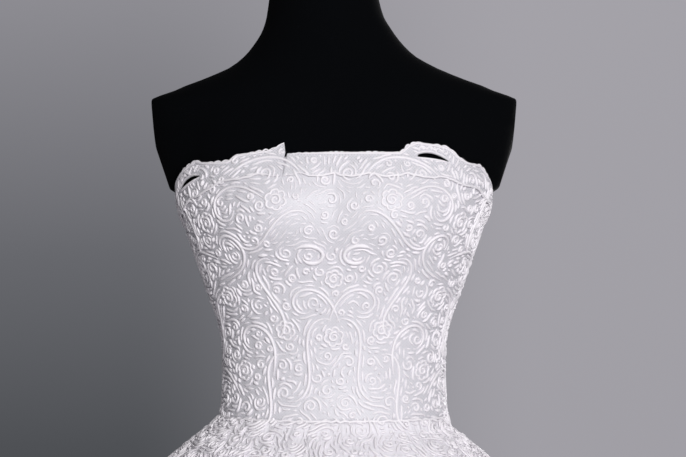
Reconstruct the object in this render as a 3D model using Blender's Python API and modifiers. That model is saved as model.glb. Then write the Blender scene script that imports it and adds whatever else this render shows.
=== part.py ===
"""Strapless lace ball gown worn by a limbless dress form on a round stand.

Metres, +Z up, the floor at z = 0. The front of the gown faces -Y and the
viewer's right is +X. Angles run round the gown from its centre front (0)
by the viewer's right side (90) to its centre back (180).
"""

import math

import bmesh
import bpy
import numpy as np
from mathutils import Vector

MM = 0.001

# Heights above the floor
HEM_Z = 6 * MM
WAIST_SEAM_Z = 1030 * MM
FORM_BOTTOM_Z = 800 * MM
NECK_TOP_Z = 1490 * MM

# Cloth and the gaps round it
BODICE_WALL = 1.8 * MM
SKIRT_WALL = 2.0 * MM
LACE_WALL = 1.0 * MM
LACE_EASE = 0.1 * MM
SEAM_GAP = 0.3 * MM
SNUG_FIT = 0.7 * MM
EASE_AT_TOP = 2.4 * MM
EASE_FROM_Z = 1090 * MM
EASE_TO_Z = 1200 * MM

# The figure under the bodice: the form's own outline, from the hips to the neck
FIGURE_COLUMNS = ("height", "half_width", "front", "back", "squareness", "lean")
FIGURE = (
    (0.800, 0.1480, 0.1060, 0.1120, 2.2, 0.0),
    (0.850, 0.1590, 0.1130, 0.1240, 2.2, 0.0),
    (0.905, 0.1560, 0.1120, 0.1250, 2.2, 0.0),
    (0.965, 0.1340, 0.1020, 0.1080, 2.2, 0.0),
    (1.008, 0.1140, 0.0940, 0.0930, 2.2, 0.0),
    (1.040, 0.1095, 0.0900, 0.0870, 2.2, 0.0),
    (1.068, 0.1076, 0.0880, 0.0850, 2.2, 0.0),
    (1.099, 0.1084, 0.0890, 0.0850, 2.2, 0.0),
    (1.123, 0.1120, 0.0920, 0.0860, 2.2, 0.0),
    (1.146, 0.1195, 0.0960, 0.0880, 2.25, 0.0),
    (1.170, 0.1275, 0.1010, 0.0910, 2.3, 0.0),
    (1.193, 0.1352, 0.1080, 0.0940, 2.35, 0.0),
    (1.217, 0.1432, 0.1140, 0.0970, 2.4, 0.0),
    (1.241, 0.1505, 0.1150, 0.0990, 2.4, 0.0),
    (1.268, 0.1530, 0.1100, 0.1000, 2.4, 0.0),
    (1.290, 0.1537, 0.1020, 0.0985, 2.4, 0.0),
    (1.314, 0.1555, 0.0920, 0.0950, 2.4, 0.0),
    (1.342, 0.1590, 0.0810, 0.0870, 2.3, 0.0),
    (1.357, 0.1460, 0.0750, 0.0800, 2.2, 0.0),
    (1.366, 0.1260, 0.0710, 0.0770, 2.1, -0.0005),
    (1.376, 0.1050, 0.0670, 0.0730, 2.05, -0.0010),
    (1.388, 0.0860, 0.0625, 0.0690, 2.0, -0.0040),
    (1.400, 0.0745, 0.0585, 0.0650, 2.0, -0.0055),
    (1.413, 0.0655, 0.0555, 0.0615, 2.0, -0.0065),
    (1.430, 0.0580, 0.0540, 0.0585, 2.0, -0.0090),
    (1.455, 0.0540, 0.0535, 0.0560, 2.0, -0.0105),
    (1.490, 0.0535, 0.0540, 0.0540, 2.0, -0.0120),
)

# The cups: how far each stands out of the figure, and where
CUP_RISE = 12 * MM
CUP_ANGLE = 29
CUP_SPREAD = 23
CUP_Z = 1232 * MM
CUP_REACH_UP = 46 * MM
CUP_REACH_DOWN = 44 * MM

# The shoulder ends of the form, which stand out of the figure above the bodice
ARM_ANGLE = 95
ARM_SPREAD = 31
ARM_CLEAR = 1.5 * MM
ARM_SWELL = 11 * MM
ARM_COLUMNS = ("height", "rise")
ARM = (
    (1.236, 0.0),
    (1.250, 0.0090),
    (1.268, 0.0185),
    (1.290, 0.0260),
    (1.314, 0.0300),
    (1.342, 0.0300),
    (1.357, 0.0070),
    (1.376, 0.0),
)
# The flat oval of the arm plate, cut from the shoulder end by a plane
PLATE_TOP = (0.1815, 1.342)
PLATE_FOOT = (0.1775, 1.290)

# The skirt's bell: the outer face, from the waist seam to the hem
SKIRT_COLUMNS = ("height", "half_width", "front", "back", "squareness")
SKIRT = (
    (0.000, 0.6560, 0.6540, 0.6600, 2.0),
    (0.200, 0.5950, 0.5930, 0.5990, 2.0),
    (0.350, 0.5410, 0.5380, 0.5440, 2.0),
    (0.500, 0.4810, 0.4770, 0.4830, 2.0),
    (0.650, 0.4120, 0.4060, 0.4120, 2.0),
    (0.780, 0.3400, 0.3310, 0.3370, 2.0),
    (0.880, 0.2670, 0.2550, 0.2590, 2.0),
    (0.950, 0.2010, 0.1870, 0.1880, 2.05),
    (0.985, 0.1610, 0.1450, 0.1450, 2.1),
    (1.005, 0.1370, 0.1190, 0.1180, 2.15),
    (1.018, 0.1200, 0.1010, 0.0995, 2.2),
)
SKIRT_LEAN = 5 * MM

# Folds: three flutes in each gore, deepest at the hem, with a valley at each seam
GORES = 7
FLUTES_IN_GORE = 3
FOLD_DEPTH_AT_HEM = 21 * MM
FOLDS_FROM_Z = 985 * MM
GORE_SKEW = (0.00, 0.030, -0.035, 0.025, -0.020, 0.035, -0.030)

# Panels of the bodice and gores of the skirt, named for where they sit
PANEL_NAMES = (
    "front",
    "side_front_right",
    "side_back_right",
    "back_right",
    "back_left",
    "side_back_left",
    "side_front_left",
)
BODICE_COLUMNS_IN_PANEL = 7
BODICE_ROWS = 14
SKIRT_COLUMNS_IN_FLUTE = 4
SKIRT_ROWS = (
    HEM_Z,
    0.200,
    0.400,
    0.580,
    0.730,
    0.840,
    0.917,
    0.919,
    0.950,
    0.980,
    1.003,
    1.018,
    WAIST_SEAM_Z - SEAM_GAP,
)
LACE_EDGE_Z = 919 * MM
LACE_SCALLOP = 7 * MM
LACE_SCALLOP_REACH = 45 * MM
FORM_COLUMNS_ROUND = 35
SHOULDER_ROW_Z = 1314 * MM

# The upper edge of the bodice round the body, from the centre back by its left side
TOP_EDGE_COLUMNS = ("angle", "height")
TOP_EDGE = (
    (-180, 1.2390),
    (-125, 1.2370),
    (-104, 1.2355),
    (-90, 1.2390),
    (-80, 1.2460),
    (-72, 1.2540),
    (-65, 1.2610),
    (-60, 1.2660),
    (-52, 1.2740),
    (-42, 1.2820),
    (-30, 1.2850),
    (0, 1.2855),
    (34, 1.2850),
    (44, 1.2835),
    (52, 1.2800),
    (62, 1.2740),
    (72, 1.2640),
    (80, 1.2550),
    (90, 1.2410),
    (104, 1.2355),
    (125, 1.2370),
    (180, 1.2390),
)

# The free edge of the lace border above it. The left strip ends over the right one.
BORDER_COLUMNS = ("angle", "edge")
BORDER_FRONT_LEFT = (
    (-88, 1.2450),
    (-82, 1.2570),
    (-75, 1.2665),
    (-68, 1.2755),
    (-62, 1.2822),
    (-59, 1.2800),
    (-50, 1.2797),
    (-47, 1.2806),
    (-44, 1.2868),
    (-35, 1.2895),
    (-30, 1.2913),
    (-26, 1.2975),
    (-25, 1.2987),
    (-23.5, 1.2890),
)
BORDER_FRONT_RIGHT = (
    (-22.5, 1.2879),
    (-7, 1.2889),
    (13, 1.2889),
    (32, 1.2890),
    (36, 1.2955),
    (40, 1.2989),
    (49, 1.2962),
    (53, 1.2935),
    (56.5, 1.2848),
    (60, 1.2801),
    (67, 1.2776),
    (73, 1.2671),
    (80, 1.2590),
    (88, 1.2460),
)
BORDER_DEPTH = 16 * MM
BORDER_WAVE = 3 * MM
BORDER_WAVE_TURN = 16
ROW_PITCH = 10 * MM
BORDER_STEP = 4
SLIT_HEIGHT = 5.0 * MM
SLIT_LEFT = (-74, -59)
SLIT_RIGHT = (37, 52)
BACK_SCALLOPS = 5
BACK_SCALLOP_RISE = 5 * MM
BACK_BORDER_FROM = 89

# Raised lace: corded scrolls and blossoms, lifted in the outer points of the cloth.
# Each is placed on both sides of the centre front, in millimetres and degrees.
LACE_LIFT = 1.8 * MM
CORD_REACH = 7.5 * MM
BLOSSOM_LIFT = 2.2 * MM
SCROLL_STEPS = 48
SCROLL_COLUMNS = ("bend", "angle", "height", "length", "turn", "tilt")
SCROLLS = (
    ("hook", 9.5, 1.194, 0.095, 300, 8),
    ("curl", 12, 1.252, 0.110, 260, 70),
    ("arc", 30, 1.278, 0.085, 120, 0),
    ("hook", 42, 1.243, 0.110, 300, 30),
    ("curl", 27, 1.215, 0.105, 270, -50),
    ("hook", 47, 1.190, 0.100, 280, 160),
    ("curl", 33, 1.150, 0.105, 290, 60),
    ("hook", 11, 1.145, 0.095, 300, 70),
    ("curl", 15, 1.090, 0.110, 250, 85),
    ("hook", 43, 1.105, 0.100, 290, 100),
    ("curl", 38, 1.058, 0.100, 250, 80),
    ("curl", 70, 1.235, 0.110, 280, 60),
    ("hook", 72, 1.180, 0.110, 290, 20),
    ("curl", 73, 1.120, 0.110, 280, 100),
    ("hook", 75, 1.065, 0.100, 290, 50),
    ("curl", 104, 1.222, 0.110, 270, 80),
    ("hook", 106, 1.160, 0.110, 290, 150),
    ("curl", 110, 1.095, 0.110, 270, 60),
    ("curl", 136, 1.225, 0.110, 280, 30),
    ("hook", 138, 1.165, 0.105, 300, 60),
    ("curl", 144, 1.105, 0.105, 270, 100),
    ("hook", 146, 1.055, 0.090, 280, 20),
    ("curl", 163, 1.200, 0.100, 270, 80),
    ("hook", 165, 1.135, 0.095, 290, 120),
    ("curl", 168, 1.075, 0.095, 250, 85),
    ("hook", 14, 0.975, 0.120, 290, 60),
    ("curl", 38, 0.968, 0.130, 270, 90),
    ("hook", 63, 0.972, 0.120, 290, 30),
    ("curl", 90, 0.966, 0.130, 270, 80),
    ("hook", 117, 0.972, 0.120, 290, 60),
    ("curl", 144, 0.968, 0.130, 270, 90),
    ("hook", 166, 0.975, 0.120, 280, 100),
)
BLOSSOM_COLUMNS = ("angle", "height", "reach")
BLOSSOMS = (
    (0, 1.168, 0.010),
    (0, 1.112, 0.011),
    (24, 1.244, 0.012),
    (56, 1.222, 0.012),
    (58, 1.150, 0.012),
    (28, 1.118, 0.011),
    (55, 1.078, 0.011),
    (88, 1.200, 0.013),
    (90, 1.135, 0.012),
    (92, 1.075, 0.012),
    (121, 1.195, 0.013),
    (124, 1.130, 0.012),
    (128, 1.065, 0.012),
    (152, 1.190, 0.012),
    (153, 1.130, 0.012),
)

# Back fastening: a narrow zip set into the centre back seam
ZIP_HALF_WIDTH = 1.5 * MM
ZIP_PLAIN_DEGREES = 4
BORDER_TO_ZIP = 3.2 * MM
ZIP_TOP_Z = 1235 * MM
ZIP_FOOT_Z = 930 * MM
ZIP_ROWS = 16
SLIDER_SIZE = (5.0 * MM, 2.0 * MM, 9.0 * MM)
SLIDER_Z = 1228 * MM
BRIDGE_WIDTH = 1.6 * MM
BRIDGE_LENGTH = 6.4 * MM
BRIDGE_THICK = 0.8 * MM
BRIDGE_CLEAR = 1.6 * MM
TAB_WIDTH = 4.8 * MM
TAB_LENGTH = 17 * MM
TAB_THICK = 0.8 * MM
TAB_EYE = (2.4 * MM, 4.6 * MM)
TAB_HEAD = 1.0 * MM

# Stand
POLE_RADIUS = 16 * MM
BASE_RADIUS = 195 * MM
BASE_THICK = 10 * MM
BOSS_RADIUS = 34 * MM
BOSS_TOP_Z = 42 * MM
SOCKET_RADIUS = 44 * MM
SOCKET_HEIGHT = 30 * MM
TURNED_STEPS = 24

BLACK_JERSEY = ("black jersey", (0.012, 0.012, 0.014), 0.85, 0.0)
BLACK_METAL = ("black powder coat", (0.02, 0.02, 0.022), 0.5, 0.0)
WHITE_SATIN = ("white satin", (0.86, 0.86, 0.88), 0.45, 0.0)
WHITE_TULLE = ("white tulle", (0.84, 0.84, 0.87), 0.7, 0.0)
WHITE_LACE = ("white corded lace", (0.90, 0.89, 0.91), 0.6, 0.0)
WHITE_METAL = ("white enamelled metal", (0.85, 0.85, 0.86), 0.35, 0.0)


def column(table, names, name):
    """One named column of a table, as an array."""
    return np.array([row[names.index(name)] for row in table], float)


def eased(x, xs, ys):
    """A smooth curve through (xs, ys) that never swings past its points."""
    steps = np.diff(xs)
    slopes = np.diff(ys) / steps
    ends = np.zeros(len(xs))
    for i in range(1, len(xs) - 1):
        before, after = slopes[i - 1], slopes[i]
        if before * after > 0:
            ends[i] = 2 * before * after / (before + after)
    ends[0], ends[-1] = slopes[0], slopes[-1]
    i = int(np.clip(np.searchsorted(xs, x) - 1, 0, len(steps) - 1))
    t = min(max((x - xs[i]) / steps[i], 0.0), 1.0)
    rise = ys[i + 1] - ys[i]
    start, finish = ends[i] * steps[i], ends[i + 1] * steps[i]
    return ys[i] + t * start + t * t * (3 * rise - 2 * start - finish) + t**3 * (start + finish - 2 * rise)


def reader(table, names):
    """A function that reads any named column of a table at any height or angle."""
    keys = column(table, names, names[0])
    columns = {name: column(table, names, name) for name in names}
    return lambda name, x: float(eased(x, keys, columns[name]))


figure_at = reader(FIGURE, FIGURE_COLUMNS)
skirt_at = reader(SKIRT, SKIRT_COLUMNS)
arm_at = reader(ARM, ARM_COLUMNS)
top_edge_at = reader(TOP_EDGE, TOP_EDGE_COLUMNS)


def oval(angle, half_width, front, back, squareness):
    """How far a squarish oval reaches from its centre at an angle from the front."""
    side, ahead = abs(math.sin(angle)), abs(math.cos(angle))
    depth = front if math.cos(angle) > 0 else back
    return ((side / half_width) ** squareness + (ahead / depth) ** squareness) ** (-1 / squareness)


def turned_to_front(angle):
    """The angle from the centre front, in degrees, between 0 and 180 on either side."""
    return abs((math.degrees(angle) + 180) % 360 - 180)


def signed(angle):
    """The angle from the centre front, in degrees, from -180 to 180."""
    return (math.degrees(angle) + 180) % 360 - 180


def bodice_top(angle):
    """The height of the bodice's upper edge."""
    return top_edge_at("height", signed(angle))


def border_top(degrees):
    """The free edge of the lace border, or about its height where it is scalloped."""
    for strip in (BORDER_FRONT_LEFT, BORDER_FRONT_RIGHT):
        angles = column(strip, BORDER_COLUMNS, "angle")
        if angles[0] <= degrees <= angles[-1]:
            return float(np.interp(degrees, angles, column(strip, BORDER_COLUMNS, "edge")))
    return bodice_top(math.radians(degrees)) + BACK_SCALLOP_RISE


def hump(distance, reach):
    """A smooth hill of height 1, which is level with the ground past its reach."""
    share = min(abs(distance) / reach, 1.0)
    return (1 - share * share) ** 2


def cups(angle, z):
    """How far the two cups stand out."""
    reach = CUP_REACH_UP if z > CUP_Z else CUP_REACH_DOWN
    across = (turned_to_front(angle) - CUP_ANGLE) / CUP_SPREAD
    return CUP_RISE * math.exp(-across * across - ((z - CUP_Z) / reach) ** 2)


def figure_radius(angle, z):
    """The figure that the bodice is cut for."""
    row = [figure_at(name, z) for name in ("half_width", "front", "back", "squareness")]
    return oval(angle, *row) + cups(angle, z)


def form_radius(angle, z):
    """The form's own outside: the figure with its shoulder ends."""
    arm = 0.0
    if ARM[0][0] < z < ARM[-1][0]:
        over_edge = min(max((z - border_top(signed(angle)) - ARM_CLEAR) / ARM_SWELL, 0.0), 1.0)
        arm = arm_at("rise", z) * hump(turned_to_front(angle) - ARM_ANGLE, ARM_SPREAD) * over_edge
    return figure_radius(angle, z) + arm


def ease(z):
    """The air between form and bodice: snug at the waist, looser at the cups."""
    share = min(max((z - EASE_FROM_Z) / (EASE_TO_Z - EASE_FROM_Z), 0.0), 1.0)
    return SNUG_FIT + (EASE_AT_TOP - SNUG_FIT) * share * share * (3 - 2 * share)


def bodice_radius(angle, z):
    """The outer face of the bodice wall."""
    return figure_radius(angle, z) + ease(z) + BODICE_WALL


def fold_wave(angle):
    """The skirt's folds round the body: -1 in a valley, 1 on a crest."""
    turn = (math.degrees(angle) / 360 + 0.5 / GORES) % 1.0 * GORES
    gore = int(turn) % GORES
    share = turn - int(turn)
    skewed = share + GORE_SKEW[gore] * math.sin(math.tau * share)
    uneven = 1 + 0.22 * math.sin(2 * angle + 0.7) + 0.16 * math.sin(5 * angle + 2.1)
    return -uneven * math.cos(math.tau * FLUTES_IN_GORE * skewed)


def scroll_path(bend, length, turn, tilt):
    """A scroll laid flat, as (across, up) points: a hook, a double curl or a plain arc."""
    share = (np.arange(SCROLL_STEPS) + 0.5) / SCROLL_STEPS
    turns = {
        "hook": -turn * share**2.2,
        "curl": turn / 2 * np.abs(2 * share - 1) ** 2.4,
        "arc": turn * (0.5 - share),
    }
    heading = np.radians(tilt + turns[bend])
    path = np.cumsum(np.column_stack((np.cos(heading), np.sin(heading))), axis=0) * length / SCROLL_STEPS
    return path - path.mean(axis=0)


def lace_lines():
    """The middle lines of all raised scrolls, as (angle, height) points."""
    lines = []
    for bend, angle, height, length, turn, tilt in SCROLLS:
        path = scroll_path(bend, length, turn, tilt)
        reach = gown_point(math.radians(angle), height).xy.length
        line = np.column_stack((math.radians(angle) + path[:, 0] / reach, height + path[:, 1]))
        lines += [line, line * (-1, 1)]
    return np.concatenate(lines)


def lace_lift(angle, z, reach):
    """How far the raised lace lifts the outer points at a place on the cloth."""
    angle = (angle + math.pi) % math.tau - math.pi
    away = np.hypot((LACE_LINES[:, 0] - angle) * reach, LACE_LINES[:, 1] - z).min()
    lift = LACE_LIFT * hump(away, CORD_REACH)
    for middle, height, spread in BLOSSOMS:
        off = math.hypot((turned_to_front(angle) - middle) * math.pi / 180 * reach, z - height)
        lift = max(lift, BLOSSOM_LIFT * hump(off, spread * 1.5))
    return lift


def skirt_radius(angle, z):
    """The outer face of the skirt, from the seam's own outline out to the bell."""
    row = [skirt_at(name, z) for name in SKIRT_COLUMNS[1:]]
    bell = oval(angle, *row)
    seam = bodice_radius(angle, WAIST_SEAM_Z)
    below = WAIST_SEAM_Z - z
    share = min(below / (WAIST_SEAM_Z - SKIRT[-1][0]), 1.0)
    base = seam + (bell - seam) * share
    fall = max(FOLDS_FROM_Z - z, 0) / (FOLDS_FROM_Z - HEM_Z)
    depth = FOLD_DEPTH_AT_HEM * fall**0.8
    return base - SKIRT_LEAN * share * math.sin(angle) + depth * fold_wave(angle)


def round_point(radius, angle, z, lean=0.0):
    """A point at a distance from the body's upright axis."""
    return Vector((lean + radius * math.sin(angle), -radius * math.cos(angle), z))


def bodice_point(angle, z):
    return round_point(bodice_radius(angle, z), angle, z)


def hem_centre():
    """Where the middle of the folded hem would come, measured over its columns."""
    columns = GORES * FLUTES_IN_GORE * SKIRT_COLUMNS_IN_FLUTE
    turns = [math.tau * (i / columns + 0.5 / GORES) for i in range(columns)]
    ring = np.array([round_point(skirt_radius(turn, HEM_Z), turn, HEM_Z) for turn in turns])
    return Vector((ring.min(axis=0) + ring.max(axis=0)) / 2).xy.to_3d()


def skirt_point(angle, z, lift=0.0):
    """The skirt's outer face, drawn over so that the hem lies centred on the stand."""
    share = max(WAIST_SEAM_Z - z, 0) / (WAIST_SEAM_Z - HEM_Z)
    return round_point(skirt_radius(angle, z) + lift, angle, z) - HEM_CENTRE * share * share


def gown_point(angle, z):
    """The gown's outer face at any height."""
    return bodice_point(angle, z) if z >= WAIST_SEAM_Z else skirt_point(angle, z)


def gown_normal(angle, z):
    """The way the gown's outer face looks."""
    turn, step = 0.01, 1.5 * MM
    across = gown_point(angle + turn, z) - gown_point(angle - turn, z)
    up = gown_point(angle, z + step) - gown_point(angle, z - step)
    return across.cross(up).normalized()


def material(look):
    """The Principled material of a look, made once."""
    name, colour, roughness, metallic = look
    made = bpy.data.materials.get(name)
    if made is None:
        made = bpy.data.materials.new(name)
        made.use_nodes = True
        shader = made.node_tree.nodes["Principled BSDF"]
        shader.inputs["Base Color"].default_value = (*colour, 1)
        shader.inputs["Roughness"].default_value = roughness
        shader.inputs["Metallic"].default_value = metallic
    return made


def add_mesh(name, bm, look, smooth=True):
    """The bmesh as a named object of the gown, with its material."""
    mesh = bpy.data.meshes.new(name)
    bm.to_mesh(mesh)
    bm.free()
    if smooth:
        mesh.shade_smooth()
    mesh.materials.append(material(look))
    made = bpy.data.objects.new(name, mesh)
    gown.objects.link(made)
    return made


def sheet(place, across_cells, up_cells):
    """An open cloth: a flat grid whose points place(across, up) sets, both 0 to 1."""
    bm = bmesh.new()
    bmesh.ops.create_grid(bm, x_segments=across_cells, y_segments=up_cells, size=1)
    for vertex in bm.verts:
        vertex.co = place((vertex.co.x + 1) / 2, (vertex.co.y + 1) / 2)
    return bm


def add_wall(name, bm, thickness, look):
    """An open cloth given its thickness inwards."""
    made = add_mesh(name, bm, look)
    solid = made.modifiers.new("thickness", "SOLIDIFY")
    solid.thickness = thickness
    solid.offset = -1
    solid.use_even_offset = True
    return made


def add_relief_wall(name, place, across_cells, up_cells, look, finer=True):
    """A wall whose outer face can be twice as fine as its inner one.

    It is made flat, across and up from 0 to 1, with layer 0 inside and 1 outside.
    """
    bm = bmesh.new()
    bmesh.ops.create_grid(bm, x_segments=across_cells, y_segments=up_cells, size=1)
    raised = bmesh.ops.extrude_face_region(bm, geom=bm.faces[:], use_keep_orig=True)["geom"]
    outer = [item for item in raised if isinstance(item, bmesh.types.BMVert)]
    bmesh.ops.translate(bm, vec=(0, 0, 1), verts=outer)
    if finer:
        outer_edges = [edge for edge in bm.edges if min(vertex.co.z for vertex in edge.verts) > 0.5]
        bmesh.ops.subdivide_edges(bm, edges=outer_edges, cuts=1, use_grid_fill=True)
    bmesh.ops.recalc_face_normals(bm, faces=bm.faces)
    for vertex in bm.verts:
        across, up, layer = vertex.co
        vertex.co = place((across + 1) / 2, (up + 1) / 2, round(layer))
    return add_mesh(name, bm, look)


def panel_angles(index):
    """Where a panel starts and ends round the body, in radians, left to right."""
    width = math.tau / GORES
    return width * (index - 0.5), width * (index + 0.5)


def edge_trims(index):
    """How much is cut off each side of a panel: half a seam gap, or room for the zip."""
    plain = SEAM_GAP / 2
    zip_side = ZIP_HALF_WIDTH + SEAM_GAP
    back_right = PANEL_NAMES[index] == "back_right"
    back_left = PANEL_NAMES[index] == "back_left"
    return (zip_side if back_left else plain), (zip_side if back_right else plain)


def trimmed(start, end, trims, radius, across):
    """The angle across a panel, with its side edges kept a set distance off the seams."""
    low, high = start + trims[0] / radius, end - trims[1] / radius
    return low + (high - low) * across


def bodice_row(angle, up):
    """The height of a row of the bodice, from the waist seam (0) to the upper edge (1)."""
    return WAIST_SEAM_Z + (bodice_top(angle) - WAIST_SEAM_Z) * up


def make_bodice_panel(index):
    """One panel of the bodice, from the waist seam to the upper edge."""
    start, end = panel_angles(index)
    trims = edge_trims(index)


    def place(across, up, layer):
        rough = start + (end - start) * across
        z = bodice_row(rough, up)
        radius = bodice_radius(rough, z)
        angle = trimmed(start, end, trims, radius, across)
        if not layer:
            return round_point(bodice_radius(angle, z) - BODICE_WALL, angle, z)
        under_border = bodice_top(angle) - z < BORDER_DEPTH + BORDER_WAVE + ROW_PITCH
        plain = under_border or 180 - turned_to_front(angle) < ZIP_PLAIN_DEGREES
        lift = 0 if plain else lace_lift(angle, z, radius)
        return round_point(bodice_radius(angle, z) + lift, angle, z)

    name = f"bodice_{PANEL_NAMES[index]}"
    return add_relief_wall(name, place, BODICE_COLUMNS_IN_PANEL, BODICE_ROWS, WHITE_SATIN)


def skirt_height(row, angle):
    """The height of a row of the skirt. The rows beside the lace's edge follow its scallops."""
    z = SKIRT_ROWS[row]
    near = hump(z - LACE_EDGE_Z, LACE_SCALLOP_REACH)
    scallop = abs(math.sin(GORES * FLUTES_IN_GORE * (angle + math.pi / GORES) / 2))
    return z + LACE_SCALLOP * near * (1 - 2 * scallop)


def make_gore(index):
    """One gore of the skirt with its own three flutes, and raised lace at its top."""
    start, end = panel_angles(index)
    zip_trims = edge_trims(index)
    rows = len(SKIRT_ROWS) - 1

    def place(across, up, layer):
        row = round(up * rows)
        rough = start + (end - start) * across
        z = skirt_height(row, rough)
        trims = zip_trims if z > ZIP_FOOT_Z - 25 * MM else (SEAM_GAP / 2, SEAM_GAP / 2)
        radius = skirt_radius(rough, z)
        angle = trimmed(start, end, trims, radius, across)
        if layer and SKIRT_ROWS[row] >= LACE_EDGE_Z:
            beside_zip = 180 - turned_to_front(angle) < ZIP_PLAIN_DEGREES
            lift = 0 if beside_zip or row == rows else LACE_LIFT / 2 + lace_lift(angle, z, radius) / 2
            return skirt_point(angle, z, lift)
        if layer:
            return skirt_point(angle, z)
        return skirt_point(angle, z) - gown_normal(angle, z) * SKIRT_WALL

    cells = SKIRT_COLUMNS_IN_FLUTE * FLUTES_IN_GORE
    name = f"skirt_{PANEL_NAMES[index]}"
    return add_relief_wall(name, place, cells, rows, WHITE_TULLE, finer=False)


def border_point(angle, z):
    """The outer face of the lace border, laid on the bodice wall."""
    return bodice_point(angle, z) + gown_normal(angle, z) * (SEAM_GAP + LACE_EASE + LACE_WALL)


def filled(marks, step):
    """The marks with more set evenly between them, so that none lie further apart than a step."""
    stretches = [np.linspace(a, b, math.ceil((b - a) / step), endpoint=False) for a, b in zip(marks, marks[1:])]
    return np.append(np.concatenate(stretches), marks[-1])


def border_foot(degrees):
    """The waved lower edge of the lace border."""
    wave = abs(math.sin(math.pi * degrees / BORDER_WAVE_TURN))
    return bodice_top(math.radians(degrees)) - BORDER_DEPTH - BORDER_WAVE * wave


def make_border(name, edge, slit):
    """A stretch of the lace border, with one long slit cut through below its edge."""
    angles = column(edge, BORDER_COLUMNS, "angle")
    around = filled(sorted({*angles, *slit}), BORDER_STEP)
    cells = len(around) - 1
    middle, reach = (slit[0] + slit[1]) / 2, (slit[1] - slit[0]) / 2

    def levels(degrees):
        top = bodice_top(math.radians(degrees)) + SEAM_GAP
        share = min(abs(degrees - middle) / reach, 1)
        gap = max(SLIT_HEIGHT * (1 - share * share), 0.8 * MM)
        foot = border_foot(degrees)
        return foot, (foot + top) / 2, top, top + gap, border_top(degrees)

    def place(across, up):
        degrees = around[round(across * cells)]
        return border_point(math.radians(degrees), levels(degrees)[round(up * 4)])

    cloth = sheet(place, cells, 4)
    slit_faces = [face for face in cloth.faces if lies_in_slit(face, slit)]
    bmesh.ops.delete(cloth, geom=slit_faces, context="FACES")
    return add_wall(name, cloth, LACE_WALL, WHITE_LACE)


def lies_in_slit(face, slit):
    """Whether a face of the border lies just above the bodice's edge, between the slit's ends."""
    centre = face.calc_center_median()
    angle = math.atan2(centre.x, -centre.y)
    above = centre.z - bodice_top(angle)
    return slit[0] < math.degrees(angle) < slit[1] and 0 < above < SLIT_HEIGHT * 0.8


def make_back_border(name, side):
    """The lace border from the side to the zip, in even scallops."""
    start = math.radians(BACK_BORDER_FROM)
    clear = BORDER_TO_ZIP / bodice_radius(math.pi, TOP_EDGE[-1][1])
    end = math.pi - clear

    def place(across, up):
        share = across if side > 0 else 1 - across
        angle = start + (end - start) * share
        wave = abs(math.sin(math.pi * BACK_SCALLOPS * share))
        edge_z = bodice_top(angle) + BACK_SCALLOP_RISE * (0.3 + 0.7 * wave)
        foot = border_foot(math.degrees(angle))
        z = foot + (edge_z - foot) * up
        return border_point(side * angle, z)

    cloth = sheet(place, BACK_SCALLOPS * 5, 2)
    return add_wall(name, cloth, LACE_WALL, WHITE_LACE)


def form_rows():
    """The form's rows, each a function from an angle to a height.

    Under the bodice they are the bodice's own rows, so that the two lie evenly apart.
    """
    heights = column(FIGURE, FIGURE_COLUMNS, "height")
    below = [z for z in heights if z < WAIST_SEAM_Z - 10 * MM]
    above = [z for z in heights if z > SHOULDER_ROW_Z - 1 * MM]
    worn = [i / BODICE_ROWS for i in range(BODICE_ROWS + 1)]
    rows = [lambda angle, z=z: z for z in below]
    rows += [lambda angle, up=up: bodice_row(angle, up) for up in worn]
    rows += [lambda angle, rise=rise: border_top(signed(angle)) + rise for rise in (ARM_CLEAR, ARM_CLEAR + ARM_SWELL)]
    return rows + [lambda angle, z=z: z for z in above]


def make_form():
    """The torso: hips, waist, chest, shoulder ends and neck in one closed body."""
    bm = bmesh.new()
    loops = []
    turns = [math.tau * i / FORM_COLUMNS_ROUND for i in range(FORM_COLUMNS_ROUND)]
    for row in form_rows():
        ring = []
        for angle in turns:
            z = row(angle)
            at = round_point(form_radius(angle, z), angle, z, figure_at("lean", z))
            ring.append(bm.verts.new(at))
        loops.append([bm.edges.new((ring[i - 1], ring[i])) for i in range(FORM_COLUMNS_ROUND)])
    for lower, upper in zip(loops, loops[1:]):
        bmesh.ops.bridge_loops(bm, edges=lower + upper)
    for rim in (loops[0], loops[-1]):
        bmesh.ops.contextual_create(bm, geom=rim)
    cut_arm_plates(bm)
    bmesh.ops.recalc_face_normals(bm, faces=bm.faces)
    return add_mesh("dress_form", bm, BLACK_JERSEY)


def cut_arm_plates(bm):
    """Slices the flat oval plates off the shoulder ends."""
    for side in (1, -1):
        top = Vector((side * PLATE_TOP[0], 0, PLATE_TOP[1]))
        foot = Vector((side * PLATE_FOOT[0], 0, PLATE_FOOT[1]))
        along = (top - foot).normalized()
        outwards = Vector((side * along.z, 0, -side * along.x))
        everything = bm.verts[:] + bm.edges[:] + bm.faces[:]
        cut = bmesh.ops.bisect_plane(bm, geom=everything, plane_co=foot, plane_no=outwards, clear_outer=True)
        rim = [item for item in cut["geom_cut"] if isinstance(item, bmesh.types.BMEdge)]
        bmesh.ops.contextual_create(bm, geom=rim)


def add_turned(name, profile, look, place=(0, 0, 0)):
    """A turned piece: a profile of (radius, height) points spun about the upright axis."""
    bm = bmesh.new()
    points = [bm.verts.new((radius, 0, z)) for radius, z in profile]
    edges = [bm.edges.new(pair) for pair in zip(points, points[1:])]
    bmesh.ops.spin(
        bm,
        geom=points + edges,
        axis=(0, 0, 1),
        cent=(0, 0, 0),
        angle=math.tau,
        steps=TURNED_STEPS,
        use_merge=True,
    )
    bmesh.ops.remove_doubles(bm, verts=bm.verts, dist=0.01 * MM)
    bmesh.ops.recalc_face_normals(bm, faces=bm.faces)
    made = add_mesh(name, bm, look, smooth=False)
    made.data.set_sharp_from_angle(angle=math.radians(35))
    made.location = place
    return made


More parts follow.
